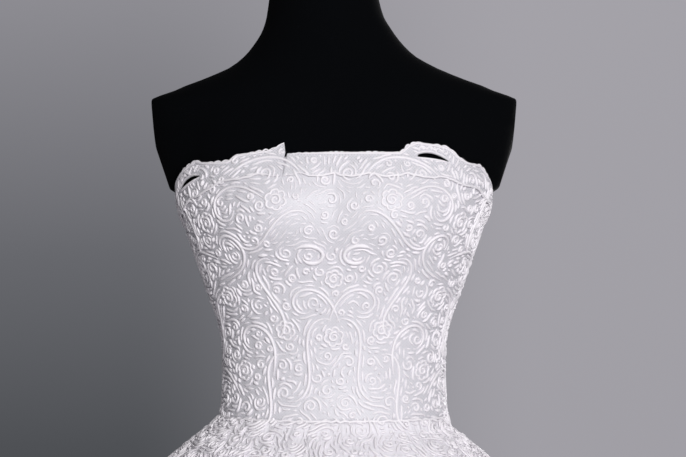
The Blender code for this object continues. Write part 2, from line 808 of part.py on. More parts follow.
def make_stand():
    """The round base, the pole, the socket under the form and the cap on its neck."""
    rim = 3 * MM
    base = (
        (0, 0),
        (BASE_RADIUS - rim, 0),
        (BASE_RADIUS, rim),
        (BASE_RADIUS - rim, BASE_THICK),
        (BOSS_RADIUS + 8 * MM, BASE_THICK + 4 * MM),
        (BOSS_RADIUS, BOSS_TOP_Z - 4 * MM),
        (BOSS_RADIUS - 4 * MM, BOSS_TOP_Z),
        (0, BOSS_TOP_Z),
    )
    add_turned("stand_base", base, BLACK_METAL)
    socket_top = FORM_BOTTOM_Z - SEAM_GAP
    socket_foot = socket_top - SOCKET_HEIGHT
    socket = (
        (0, socket_foot),
        (POLE_RADIUS + 6 * MM, socket_foot),
        (POLE_RADIUS + 8 * MM, socket_top - 8 * MM),
        (SOCKET_RADIUS, socket_top - 5 * MM),
        (SOCKET_RADIUS, socket_top),
        (0, socket_top),
    )
    add_turned("stand_socket", socket, BLACK_METAL)
    pole_foot, pole_top = BOSS_TOP_Z + SEAM_GAP, socket_foot - SEAM_GAP
    pole = ((0, pole_foot), (POLE_RADIUS, pole_foot), (POLE_RADIUS, pole_top), (0, pole_top))
    add_turned("stand_pole", pole, BLACK_METAL)
    neck = figure_at("half_width", NECK_TOP_Z)
    cap = (
        (0, 0),
        (neck, 0),
        (neck + 1 * MM, 2 * MM),
        (neck - 2 * MM, 7 * MM),
        (neck - 20 * MM, 11 * MM),
        (9 * MM, 13 * MM),
        (7 * MM, 20 * MM),
        (11 * MM, 28 * MM),
        (7 * MM, 36 * MM),
        (0, 39 * MM),
    )
    lean = figure_at("lean", NECK_TOP_Z)
    add_turned("neck_cap", cap, BLACK_METAL, (lean, 0, NECK_TOP_Z + SEAM_GAP))


def make_zip_chain():
    """The closed chain, a narrow strip down the centre back between the panels."""

    def place(across, up):
        z = ZIP_FOOT_Z + (ZIP_TOP_Z - ZIP_FOOT_Z) * up
        on_seam = gown_point(math.pi, z)
        return Vector((ZIP_HALF_WIDTH * (1 - 2 * across), on_seam.y, z))

    cloth = sheet(place, 2, ZIP_ROWS)
    return add_wall("zip_chain", cloth, 1.2 * MM, WHITE_SATIN)


def add_box(name, size, centre, look, bevel):
    """A block with eased edges."""
    bm = bmesh.new()
    bmesh.ops.create_cube(bm, size=1)
    bmesh.ops.scale(bm, vec=size, verts=bm.verts)
    bmesh.ops.translate(bm, vec=centre, verts=bm.verts)
    made = add_mesh(name, bm, look, smooth=False)
    if bevel:
        eased_edges = made.modifiers.new("eased edges", "BEVEL")
        eased_edges.width = bevel
        eased_edges.segments = 1
    return made


def make_slider_and_tab():
    """The slider with its bridge, and the tab that swings on the bridge."""
    slope = gown_point(math.pi, SLIDER_Z + 6 * MM) - gown_point(math.pi, SLIDER_Z - 6 * MM)
    lean = math.atan2(-slope.y, slope.z)
    seat = gown_point(math.pi, SLIDER_Z)
    hinge_out = SEAM_GAP + SLIDER_SIZE[1] + BRIDGE_CLEAR / 2
    holder = bpy.data.objects.new("slider_place", None)
    gown.objects.link(holder)
    holder.location = seat
    holder.rotation_euler = (lean, 0, 0)

    body = add_box("zip_slider", SLIDER_SIZE, (0, SEAM_GAP + SLIDER_SIZE[1] / 2, 0), WHITE_METAL, 0.5 * MM)
    body.parent = holder
    bridge_y = SEAM_GAP + SLIDER_SIZE[1] + BRIDGE_CLEAR
    helpers = [
        (BRIDGE_WIDTH, BRIDGE_THICK, BRIDGE_LENGTH),
        (BRIDGE_WIDTH, BRIDGE_CLEAR + 1.0 * MM, BRIDGE_THICK),
        (BRIDGE_WIDTH, BRIDGE_CLEAR + 1.0 * MM, BRIDGE_THICK),
    ]
    leg_y = bridge_y - BRIDGE_CLEAR / 2
    leg_z = (BRIDGE_LENGTH - BRIDGE_THICK) / 2
    centres = [(0, bridge_y + BRIDGE_THICK / 2, 0), (0, leg_y, leg_z), (0, leg_y, -leg_z)]
    for number, (size, centre) in enumerate(zip(helpers, centres)):
        cutter = add_box(f"bridge_helper_{number}", size, centre, WHITE_METAL, 0)
        cutter.parent = holder
        gown.objects.unlink(cutter)
        guides.objects.link(cutter)
        cutter.hide_render = True
        cutter.display_type = "WIRE"
        join = body.modifiers.new(f"bridge {number}", "BOOLEAN")
        join.operation = "UNION"
        join.object = cutter

    swing = bpy.data.objects.new("tab_axis", None)
    gown.objects.link(swing)
    swing.parent = holder
    swing.location = (0, hinge_out, 0)
    outline = tab_outline()
    tab = bpy.data.objects.new("zip_pull_tab", outline)
    gown.objects.link(tab)
    tab.parent = swing
    tab.rotation_euler = (math.pi / 2, 0, 0)
    bpy.context.view_layer.update()
    axis_at = swing.matrix_world.translation
    print("pull tab hinge at", [round(c, 6) for c in axis_at], "slider leans", round(math.degrees(lean), 3))


def tab_outline():
    """The tab's flat outline with the eye that hangs on the bridge, head at the origin."""
    flat = bpy.data.curves.new("zip_pull_tab", "CURVE")
    flat.dimensions = "2D"
    flat.fill_mode = "BOTH"
    flat.extrude = TAB_THICK / 2
    foot_steps = 8
    half = TAB_WIDTH / 2
    outer = [(-half, TAB_HEAD / 2), (half, TAB_HEAD / 2)]
    for i in range(foot_steps + 1):
        turn = math.pi * i / foot_steps
        outer.append((half * math.cos(turn), -(TAB_LENGTH - half) - half * math.sin(turn)))
    eye_half, eye_length = TAB_EYE[0] / 2, TAB_EYE[1]
    eye_top = -TAB_HEAD / 2
    eye = [(-eye_half, eye_top), (eye_half, eye_top), (eye_half, eye_top - eye_length), (-eye_half, eye_top - eye_length)]
    for points in (outer, eye):
        spline = flat.splines.new("POLY")
        spline.use_cyclic_u = True
        spline.points.add(len(points) - 1)
        for point, (x, y) in zip(spline.points, points):
            point.co = (x, y, 0, 1)
    flat.materials.append(material(WHITE_METAL))
    return flat


def clear_scene():
    for old in list(bpy.data.objects):
        bpy.data.objects.remove(old)


def new_collection(name):
    made = bpy.data.collections.new(name)
    bpy.context.scene.collection.children.link(made)
    return made


HEM_CENTRE = hem_centre()
LACE_LINES = lace_lines()

clear_scene()
gown = new_collection("wedding_dress_on_form")
guides = new_collection("guides")
make_form()
make_stand()
for panel in range(GORES):
    make_bodice_panel(panel)
    make_gore(panel)
make_border("lace_border_front_left", BORDER_FRONT_LEFT, SLIT_LEFT)
make_border("lace_border_front_right", BORDER_FRONT_RIGHT, SLIT_RIGHT)
make_back_border("lace_border_back_right", 1)
make_back_border("lace_border_back_left", -1)
make_zip_chain()
make_slider_and_tab()
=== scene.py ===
# %% [markdown]
# # A strapless lace wedding dress on a dress form
#
# The gown has a fitted bodice under corded lace, a lace border that stands up over its edge, and a full
# fluted skirt. A black limbless dress form on a round stand wears it. The solid model is loaded first as a
# fixed frame, and every cell after that lays one piece of finer cloth, lace or finish over it.

import math
import random

import bmesh
import bpy
import numpy as np
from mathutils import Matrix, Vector
from mathutils.kdtree import KDTree


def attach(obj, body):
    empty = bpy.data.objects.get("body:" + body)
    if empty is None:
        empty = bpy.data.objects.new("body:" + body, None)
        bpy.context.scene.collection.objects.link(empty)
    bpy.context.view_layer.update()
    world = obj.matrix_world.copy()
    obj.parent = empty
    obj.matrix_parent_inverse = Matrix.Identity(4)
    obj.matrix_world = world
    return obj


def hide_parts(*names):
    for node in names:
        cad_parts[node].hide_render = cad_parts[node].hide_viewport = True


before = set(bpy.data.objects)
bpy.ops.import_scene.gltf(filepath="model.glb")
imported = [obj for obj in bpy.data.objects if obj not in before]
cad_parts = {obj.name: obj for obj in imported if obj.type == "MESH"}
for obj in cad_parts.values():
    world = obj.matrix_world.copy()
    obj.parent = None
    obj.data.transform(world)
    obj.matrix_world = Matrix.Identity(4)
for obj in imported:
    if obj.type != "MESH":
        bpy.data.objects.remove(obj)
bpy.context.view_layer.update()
BODY = "gown_on_form"
MM = 0.001
print("solid nodes:", len(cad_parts))

# %% [markdown]
# ## The camera
#
# The photograph looks level at the bodice from a few steps away. A long lens keeps the sides of the bodice
# nearly parallel, so a camera 2.6 m off with a lens of about 136 mm takes in 0.686 m across at the gown.

# %% Place the camera
CAMERA_AT = Vector((0.009, -2.6, 1.2165))
FIELD_WIDTH = 0.686
SENSOR_WIDTH = 36


def new_object(name, data):
    """An object that shows the data, linked into the scene."""
    made = bpy.data.objects.new(name, data)
    bpy.context.collection.objects.link(made)
    return made


camera_data = bpy.data.cameras.new("camera")
camera_data.sensor_width = SENSOR_WIDTH
camera_data.lens = SENSOR_WIDTH * -CAMERA_AT.y / FIELD_WIDTH
camera = new_object("camera", camera_data)
camera.location = CAMERA_AT
camera.rotation_euler = (math.radians(90), 0, 0)
bpy.context.scene.camera = camera
print("lens", round(camera_data.lens, 1), "mm")

# %% [markdown]
# ## The sizes of the figure
#
# A dressmaker describes a figure by its widths and depths at a few heights. The tables below do the same:
# each row is one height, and smooth curves through the rows give every size between them. The tables are in
# millimetres and in degrees from the centre front, with the viewer's right positive. The functions that read
# them work in metres.

# %% Tables of the figure, the shoulder ends and the skirt
HEM_Z = 6 * MM
WAIST_SEAM_Z = 1030 * MM
BODICE_WALL = 1.8 * MM
LACE_WALL = 1.0 * MM
LACE_EASE = 0.1 * MM
SEAM_GAP = 0.3 * MM
SNUG_FIT = 0.7 * MM
EASE_AT_TOP = 2.4 * MM
EASE_FROM_Z = 1090 * MM
EASE_TO_Z = 1200 * MM
# The figure under the bodice: the form's own outline, from the hips to the neck
FIGURE_COLUMNS = ("height", "half_width", "front", "back", "squareness", "lean")
FIGURE = (
    (800, 148, 106, 112, 2.2, 0),
    (850, 159, 113, 124, 2.2, 0),
    (905, 156, 112, 125, 2.2, 0),
    (965, 134, 102, 108, 2.2, 0),
    (1008, 114, 94, 93, 2.2, 0),
    (1040, 109.5, 90, 87, 2.2, 0),
    (1068, 107.6, 88, 85, 2.2, 0),
    (1099, 108.4, 89, 85, 2.2, 0),
    (1123, 112, 92, 86, 2.2, 0),
    (1146, 119.5, 96, 88, 2.25, 0),
    (1170, 127.5, 101, 91, 2.3, 0),
    (1193, 135.2, 108, 94, 2.35, 0),
    (1217, 143.2, 114, 97, 2.4, 0),
    (1241, 150.5, 115, 99, 2.4, 0),
    (1268, 153, 110, 100, 2.4, 0),
    (1290, 153.7, 102, 98.5, 2.4, 0),
    (1314, 155.5, 92, 95, 2.4, 0),
    (1342, 159, 81, 87, 2.3, 0),
    (1357, 146, 75, 80, 2.2, 0),
    (1366, 126, 71, 77, 2.1, -0.5),
    (1376, 105, 67, 73, 2.05, -1),
    (1388, 86, 62.5, 69, 2, -4),
    (1400, 74.5, 58.5, 65, 2, -5.5),
    (1413, 65.5, 55.5, 61.5, 2, -6.5),
    (1430, 58, 54, 58.5, 2, -9),
    (1455, 54, 53.5, 56, 2, -10.5),
    (1490, 53.5, 54, 54, 2, -12),
)

# The cups: how far each stands out of the figure, and where
CUP_RISE = 12 * MM
CUP_ANGLE = 29
CUP_SPREAD = 23
CUP_Z = 1232 * MM
CUP_REACH_UP = 46 * MM
CUP_REACH_DOWN = 44 * MM

# The shoulder ends of the form, which stand out of the figure above the bodice
ARM_ANGLE = 95
ARM_SPREAD = 31
ARM_CLEAR = 1.5 * MM
ARM_SWELL = 11 * MM
ARM_COLUMNS = ("height", "rise")
ARM = ((1236, 0), (1250, 9), (1268, 18.5), (1290, 26), (1314, 30), (1342, 30), (1357, 7), (1376, 0))
# The flat oval of the arm plate is cut from the shoulder end by a plane through these places, in metres
PLATE_TOP = (0.1815, 1.342)
PLATE_FOOT = (0.1775, 1.290)

# The skirt's bell: the outer face, from the hem to the waist seam
SKIRT_COLUMNS = ("height", "half_width", "front", "back", "squareness")
SKIRT = (
    (0, 656, 654, 660, 2),
    (200, 595, 593, 599, 2),
    (350, 541, 538, 544, 2),
    (500, 481, 477, 483, 2),
    (650, 412, 406, 412, 2),
    (780, 340, 331, 337, 2),
    (880, 267, 255, 259, 2),
    (950, 201, 187, 188, 2.05),
    (985, 161, 145, 145, 2.1),
    (1005, 137, 119, 118, 2.15),
    (1018, 120, 101, 99.5, 2.2),
)
SKIRT_LEAN = 5 * MM

# Folds: three flutes in each gore, deepest at the hem, with a valley at each seam
GORES = 7
FLUTES_IN_GORE = 3
FOLD_DEPTH_AT_HEM = 21 * MM
FOLDS_FROM_Z = 985 * MM
GORE_SKEW = (0.00, 0.030, -0.035, 0.025, -0.020, 0.035, -0.030)

# The lace on the skirt ends in a scalloped edge
LACE_EDGE_Z = 919 * MM
LACE_SCALLOP = 7 * MM

# The upper edge of the bodice round the body, from the centre back by its left side
EDGE_COLUMNS = ("angle", "height")
TOP_EDGE = (
    (-180, 1239), (-125, 1237), (-104, 1235.5), (-90, 1239), (-80, 1246), (-72, 1254), (-65, 1261),
    (-60, 1266), (-52, 1274), (-42, 1282), (-30, 1285), (0, 1285.5), (34, 1285), (44, 1283.5), (52, 1280),
    (62, 1274), (72, 1264), (80, 1255), (90, 1241), (104, 1235.5), (125, 1237), (180, 1239),
)

# The free edge of the lace border above it. The left strip ends over the right one.
BORDER_FRONT_LEFT = (
    (-88, 1245), (-82, 1257), (-75, 1266.5), (-68, 1275.5), (-62, 1282.2), (-59, 1280), (-50, 1279.7),
    (-47, 1280.6), (-44, 1286.8), (-35, 1289.5), (-30, 1291.3), (-26, 1297.5), (-25, 1298.7), (-23.5, 1289),
)
BORDER_FRONT_RIGHT = (
    (-22.5, 1287.9), (-7, 1288.9), (13, 1288.9), (32, 1289), (36, 1295.5), (40, 1298.9), (49, 1296.2),
    (53, 1293.5), (56.5, 1284.8), (60, 1280.1), (67, 1277.6), (73, 1267.1), (80, 1259), (88, 1246),
)
BORDER_DEPTH = 16 * MM
BORDER_WAVE = 3 * MM
BORDER_WAVE_TURN = 16
SLIT_HEIGHT = 5.0 * MM
SLIT_LEFT = (-74, -59)
SLIT_RIGHT = (37, 52)
BACK_SCALLOPS = 5
BACK_SCALLOP_RISE = 5 * MM
BACK_BORDER_FROM = 89

# The large scrolls: bend, angle, height, length, turn and tilt. Each is placed on both sides of the front.
# The solid model has two more in the quiet middle of the front, where the photograph shows no long line.
SCROLL_STEPS = 48
SCROLLS = (
    ("arc", 30, 1278, 85, 120, 0), ("hook", 42, 1243, 110, 300, 30), ("curl", 27, 1215, 105, 270, -50),
    ("hook", 47, 1190, 100, 280, 160), ("curl", 33, 1150, 105, 290, 60), ("hook", 11, 1145, 95, 300, 70),
    ("curl", 15, 1090, 110, 250, 85), ("hook", 43, 1105, 100, 290, 100), ("curl", 38, 1058, 100, 250, 80),
    ("curl", 70, 1235, 110, 280, 60), ("hook", 72, 1180, 110, 290, 20), ("curl", 73, 1120, 110, 280, 100),
    ("hook", 75, 1065, 100, 290, 50), ("curl", 104, 1222, 110, 270, 80), ("hook", 106, 1160, 110, 290, 150),
    ("curl", 110, 1095, 110, 270, 60), ("curl", 136, 1225, 110, 280, 30), ("hook", 138, 1165, 105, 300, 60),
    ("curl", 144, 1105, 105, 270, 100), ("hook", 146, 1055, 90, 280, 20), ("curl", 163, 1200, 100, 270, 80),
    ("hook", 165, 1135, 95, 290, 120), ("curl", 168, 1075, 95, 250, 85), ("hook", 14, 975, 120, 290, 60),
    ("curl", 38, 968, 130, 270, 90), ("hook", 63, 972, 120, 290, 30), ("curl", 90, 966, 130, 270, 80),
    ("hook", 117, 972, 120, 290, 60), ("curl", 144, 968, 130, 270, 90), ("hook", 166, 975, 120, 280, 100),
)
# The roses: angle, height and radius
ROSES = (
    (0, 1168, 10), (0, 1112, 11), (24, 1244, 12), (56, 1222, 12), (58, 1150, 12), (28, 1118, 11),
    (55, 1078, 11), (88, 1200, 13), (90, 1135, 12), (92, 1075, 12), (121, 1195, 13), (124, 1130, 12),
    (128, 1065, 12), (152, 1190, 12), (153, 1130, 12),
)

# %% Smooth curves through a table


def column(table, names, name):
    """One named column of a table as an array, with its lengths in metres."""
    values = np.array([row[names.index(name)] for row in table], float)
    return values if name in ("angle", "squareness") else values / 1000


def curve_through(xs, ys):
    """A smooth curve that never swings past its points, for single values and arrays alike."""
    steps = np.diff(xs)
    slopes = np.diff(ys) / steps
    before, after = slopes[:-1], slopes[1:]
    same_way = before * after > 0
    total = np.where(same_way, before + after, 1)
    inner = np.where(same_way, 2 * before * after / total, 0)
    ends = np.concatenate((slopes[:1], inner, slopes[-1:]))

    def read(x):
        i = np.clip(np.searchsorted(xs, x) - 1, 0, len(steps) - 1)
        t = np.clip((x - xs[i]) / steps[i], 0, 1)
        rise = ys[i + 1] - ys[i]
        start, finish = ends[i] * steps[i], ends[i + 1] * steps[i]
        return ys[i] + t * start + t**2 * (3 * rise - 2 * start - finish) + t**3 * (start + finish - 2 * rise)

    return read


def table_curves(table, names):
    """A smooth curve for each column of a table after its first."""
    keys = column(table, names, names[0])
    return {name: curve_through(keys, column(table, names, name)) for name in names[1:]}


figure = table_curves(FIGURE, FIGURE_COLUMNS)
skirt_bell = table_curves(SKIRT, SKIRT_COLUMNS)
arm_rise = table_curves(ARM, ARM_COLUMNS)["rise"]
bodice_top_at = table_curves(TOP_EDGE, EDGE_COLUMNS)["height"]
# The angles and heights of the border's free edge, for its left and its right strip
FRONT_EDGES = [
    [column(strip, EDGE_COLUMNS, name) for name in EDGE_COLUMNS]
    for strip in (BORDER_FRONT_LEFT, BORDER_FRONT_RIGHT)
]
print("figure at the waist:", {name: round(float(read(1.08)), 4) for name, read in figure.items()})

# %% The body's surfaces, as functions of the angle in radians and the height


def oval(angle, half_width, front, back, squareness):
    """How far a squarish oval reaches from its centre at an angle from the front."""
    side, ahead = np.abs(np.sin(angle)), np.abs(np.cos(angle))
    depth = np.where(np.cos(angle) > 0, front, back)
    return ((side / half_width) ** squareness + (ahead / depth) ** squareness) ** (-1 / squareness)


def signed(angle):
    """The angle from the centre front, in degrees, from -180 to 180."""
    return (np.degrees(angle) + 180) % 360 - 180


def hump(distance, reach):
    """A smooth hill of height 1, which is level with the ground past its reach."""
    share = np.clip(np.abs(distance) / reach, 0, 1)
    return (1 - share * share) ** 2


def softened(share):
    """Eases a 0 to 1 share in and out."""
    share = np.clip(share, 0, 1)
    return share * share * (3 - 2 * share)


def figure_radius(angle, z):
    """The figure that the bodice is cut for, with its two cups."""
    reach = np.where(z > CUP_Z, CUP_REACH_UP, CUP_REACH_DOWN)
    across = (np.abs(signed(angle)) - CUP_ANGLE) / CUP_SPREAD
    cups = CUP_RISE * np.exp(-across * across - ((z - CUP_Z) / reach) ** 2)
    return oval(angle, *[figure[name](z) for name in FIGURE_COLUMNS[1:5]]) + cups


def border_top(degrees):
    """The free edge of the lace border, or about its height where it is scalloped."""
    edge = bodice_top_at(degrees) + BACK_SCALLOP_RISE
    for angles, heights in FRONT_EDGES:
        inside = (degrees >= angles[0]) & (degrees <= angles[-1])
        edge = np.where(inside, np.interp(degrees, angles, heights), edge)
    return edge


def form_radius(angle, z):
    """The form's own outside: the figure with its shoulder ends."""
    over_edge = np.clip((z - border_top(signed(angle)) - ARM_CLEAR) / ARM_SWELL, 0, 1)
    arm = arm_rise(z) * hump(np.abs(signed(angle)) - ARM_ANGLE, ARM_SPREAD)
    return figure_radius(angle, z) + arm * over_edge


def bodice_radius(angle, z):
    """The outer face of the bodice wall."""
    ease = SNUG_FIT + (EASE_AT_TOP - SNUG_FIT) * softened((z - EASE_FROM_Z) / (EASE_TO_Z - EASE_FROM_Z))
    return figure_radius(angle, z) + ease + BODICE_WALL


def fold_wave(angle):
    """The skirt's folds round the body: about -1 in a valley and 1 on a crest."""
    turn = (np.degrees(angle) / 360 + 0.5 / GORES) % 1.0 * GORES
    gore = turn.astype(int) % GORES
    share = turn - np.floor(turn)
    skewed = share + np.array(GORE_SKEW)[gore] * np.sin(math.tau * share)
    uneven = 1 + 0.22 * np.sin(2 * angle + 0.7) + 0.16 * np.sin(5 * angle + 2.1)
    return -uneven * np.cos(math.tau * FLUTES_IN_GORE * skewed)


def skirt_radius(angle, z):
    """The outer face of the skirt, from the seam's own outline out to the bell."""
    bell = oval(angle, *[skirt_bell[name](z) for name in SKIRT_COLUMNS[1:]])
    share = np.clip((WAIST_SEAM_Z - z) / (WAIST_SEAM_Z - SKIRT[-1][0] / 1000), 0, 1)
    seam = bodice_radius(angle, WAIST_SEAM_Z)
    fall = np.clip(FOLDS_FROM_Z - z, 0, None) / (FOLDS_FROM_Z - HEM_Z)
    depth = FOLD_DEPTH_AT_HEM * fall**0.8
    return seam + (bell - seam) * share - SKIRT_LEAN * share * np.sin(angle) + depth * fold_wave(angle)


def round_points(radius, angle, z, lean=0.0):
    """Points at a distance from the body's upright axis."""
    return np.stack(np.broadcast_arrays(lean + radius * np.sin(angle), -radius * np.cos(angle), z), axis=-1)


hem_turns = math.tau * (np.arange(84) / 84 + 0.5 / GORES)
hem_ring = round_points(skirt_radius(hem_turns, HEM_Z), hem_turns, HEM_Z)
HEM_CENTRE = (hem_ring.min(axis=0) + hem_ring.max(axis=0)) / 2 * (1, 1, 0)


def skirt_points(angle, z, lift=0.0):
    """The skirt's outer face, drawn over so that the hem lies centred on the stand."""
    share = np.clip(WAIST_SEAM_Z - z, 0, None) / (WAIST_SEAM_Z - HEM_Z)
    points = round_points(skirt_radius(angle, z) + lift, angle, z)
    return points - HEM_CENTRE * np.asarray(share * share)[..., None]


def gown_points(angle, z):
    """The gown's outer face at any height."""
    angle, z = np.broadcast_arrays(np.asarray(angle, float), np.asarray(z, float))
    on_bodice = round_points(bodice_radius(angle, z), angle, z)
    return np.where((z >= WAIST_SEAM_Z)[..., None], on_bodice, skirt_points(angle, z))


def gown_frame(angle, z):
    """At a place on the gown: the point, its steps across and up for one unit, and its outward normal."""
    turn, step = 0.01, 1.5 * MM
    across = (gown_points(angle + turn, z) - gown_points(angle - turn, z)) / (2 * turn)
    up = (gown_points(angle, z + step) - gown_points(angle, z - step)) / (2 * step)
    normal = np.cross(across, up)
    return gown_points(angle, z), across, up, normal / np.linalg.norm(normal, axis=-1, keepdims=True)


print("bodice half width at the bust:", round(float(bodice_radius(math.pi / 2, 1.24)), 4))
print("the hem is drawn over by", HEM_CENTRE[:2].round(4))

# %% [markdown]
# ## Colours and finishes
#
# Everything white on the gown is a slightly different white: the satin shines a little, the cords are matt
# cotton and the tulle is a dry nylon net. Small bumps tell them apart more than colour does. Each material
# below is set up from real sizes in millimetres, read from the object's own coordinates.

# %% Helpers for colours and material nodes


def colour(hexadecimal):
    """A colour from its sRGB hex code, as the linear values that a shader wants."""
    parts = [int(hexadecimal[i : i + 2], 16) / 255 for i in (1, 3, 5)]
    linear = [part / 12.92 if part <= 0.04045 else ((part + 0.055) / 1.055) ** 2.4 for part in parts]
    return (*linear, 1)


def set_inputs(tree, made, values):
    """Fills in a node's inputs. A value that is another node's output becomes a link to it."""
    for name, value in values.items():
        if isinstance(value, bpy.types.NodeSocket):
            tree.links.new(value, made.inputs[name])
        else:
            made.inputs[name].default_value = value


def node(tree, kind, values, **settings):
    """Adds a node with its settings, its input values and its links."""
    made = tree.nodes.new("ShaderNode" + kind)
    for name, value in settings.items():
        setattr(made, name, value)
    set_inputs(tree, made, values)
    return made


def new_material(name):
    """A material with its Principled shader, and the object coordinates that patterns read."""
    made = bpy.data.materials.new(name)
    made.use_nodes = True
    tree = made.node_tree
    return made, tree, tree.nodes["Principled BSDF"], node(tree, "TexCoord", {}).outputs["Object"]


# %% Satin, lace, tulle and jersey
# The cells of bridal net are about 1 mm across, too fine to show, so they are drawn twice as coarse or more
NET_CELL = 2.0 * MM
TOP_NET_CELL = 2.8 * MM
# The twist of a cord, a jersey stitch and the orange peel of powder coat are finer too: 0.4 to 0.8 mm
CORD_GRAIN = 1.1 * MM
JERSEY_STITCH = 2.0 * MM
POWDER_GRAIN = 1.2 * MM


def net_pattern(tree, place, cell):
    """A fine diamond net: two crossing sets of threads, as a 0 to 1 height."""
    wave = {"Scale": math.tau / (20 * cell), "Distortion": 0.6, "Detail": 1, "Detail Scale": 2}
    threads = []
    for tilt in (45, -45):
        turned = node(tree, "Mapping", {"Vector": place, "Rotation": (0, math.radians(tilt), 0)})
        threads.append(node(tree, "TexWave", {"Vector": turned.outputs[0], **wave}).outputs["Fac"])
    return node(tree, "Math", dict(enumerate(threads)), operation="MAXIMUM").outputs[0]


def make_look(name, shades, size=0.0, bump=(0, 0), **values):
    """A material of two shades that follow a net's threads, of one shade with a fine grain, or plain."""
    made, tree, shader, place = new_material(name)
    values["Base_Color"] = colour(shades[0])
    if len(shades) == 2:
        height = net_pattern(tree, place, size)
        tint = node(tree, "Mix", {0: height, 6: colour(shades[0]), 7: colour(shades[1])}, data_type="RGBA")
        values["Base_Color"] = tint.outputs[2]
    elif size:
        height = node(tree, "TexNoise", {"Vector": place, "Scale": 1 / size, "Detail": 2}).outputs["Fac"]
    if size:
        relief = node(tree, "Bump", {"Height": height, "Strength": bump[0], "Distance": bump[1] * MM})
        values["Normal"] = relief.outputs["Normal"]
    set_inputs(tree, shader, {key.replace("_", " "): value for key, value in values.items()})
    return made


def make_tulle():
    """Layered nylon tulle: dry, cloudy white, with the faint net of its top layer."""
    made, tree, shader, place = new_material("layered_nylon_tulle")
    cloud = node(tree, "TexNoise", {"Vector": place, "Scale": 1 / (60 * MM), "Detail": 3}).outputs["Fac"]
    tint = node(tree, "Mix", {0: cloud, 6: colour("#E5E2E8"), 7: colour("#F2EFF3")}, data_type="RGBA")
    # Fine gathers run down the skirt: noise that changes quickly round the body and slowly down it
    parts = node(tree, "SeparateXYZ", {"Vector": place}).outputs
    around = node(tree, "Math", {0: parts["X"], 1: parts["Y"]}, operation="ARCTAN2").outputs[0]
    spread = node(tree, "CombineXYZ", {"X": around, "Y": parts["Z"]}).outputs[0]
    heights = []
    for scale in ((17, 1.6, 1), (46, 3, 1)):
        stretched = node(tree, "Mapping", {"Vector": spread, "Scale": scale}).outputs[0]
        heights.append(node(tree, "TexNoise", {"Vector": stretched, "Scale": 1, "Detail": 1}).outputs["Fac"])
    heights.append(net_pattern(tree, place, TOP_NET_CELL))
    # Each bump is laid over the one before: large gathers, small gathers, net
    normal = {}
    for height, strength, depth in zip(heights, (1, 1, 0.3), (5, 1.4, 0.3)):
        values = {"Height": height, "Strength": strength, "Distance": depth * MM, **normal}
        normal = {"Normal": node(tree, "Bump", values).outputs["Normal"]}
    sheen = {"Roughness": 0.75, "Sheen Weight": 0.35, "Sheen Roughness": 0.35}
    set_inputs(tree, shader, {"Base Color": tint.outputs[2], **normal, **sheen})
    return made


# Duchess satin seen through a fine net: soft shine, two shades that follow the net's threads, and both greyer
# than the cords as painted shade between the cords
SATIN = make_look(
    "duchess_satin_under_net_painted_shade", ("#C5C3CA", "#DAD8DD"), NET_CELL, (0.35, 0.25),
    Roughness=0.46, Sheen_Weight=0.15, Sheen_Roughness=0.4,
)
# Corded lace: matt twisted cotton, the whitest part of the gown
CORD = make_look(
    "cotton_lace_cord", ("#F3EFF3",), CORD_GRAIN, (0.4, 0.3),
    Roughness=0.55, Sheen_Weight=0.1, Sheen_Roughness=0.5,
)
# The ground of the lace border: close net with small darning, two shades that follow the net's threads, and
# greyer than its cords as painted shade between them
LACE_GROUND = make_look(
    "nylon_lace_net_painted_shade", ("#BAB8BF", "#DCDADF"), NET_CELL, (0.6, 0.3),
    Roughness=0.62, Sheen_Weight=0.1, Sheen_Roughness=0.5,
)
TULLE = make_tulle()
# Black cotton jersey stretched over the form: it swallows the light, with a fine knitted grain
JERSEY = make_look(
    "black_cotton_jersey", ("#030406",), JERSEY_STITCH, (0.3, 0.3), Roughness=0.95, Specular_IOR_Level=0.06
)
# Powder-coated steel: near black, half matt, with a slight orange peel
POWDER_COAT = make_look("powder_coated_steel", ("#141416",), POWDER_GRAIN, (0.2, 0.2), Roughness=0.5)
# Baked enamel on a zinc slider: smooth, with a small bright highlight
ENAMEL = make_look("white_enamel", ("#EDEDEF",), Roughness=0.25)
# Moulded nylon teeth on a woven tape: a soft even white, half matt
ZIP_NYLON = make_look("moulded_nylon", ("#E6E6EA",), Roughness=0.5)
print("materials:", [made.name for made in bpy.data.materials])

# %% [markdown]
# ## Cloth as a grid
#
# A pattern piece is flat before it is worn. Each cloth here is made the same way: a flat grid whose points
# are then laid on the body, and only after that is it given its thickness, inwards.

# %% Helpers for cloth and for finished pieces


def mesh_from(name, bm):
    """The worked shape as a mesh."""
    mesh = bpy.data.meshes.new(name)
    bm.to_mesh(mesh)
    bm.free()
    return mesh


def finish_piece(name, mesh, look):
    """The mesh as a finished piece that goes with the gown on its form."""
    mesh.shade_smooth()
    mesh.materials.append(look)
    piece = new_object(name, mesh)
    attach(piece, BODY)
    return piece


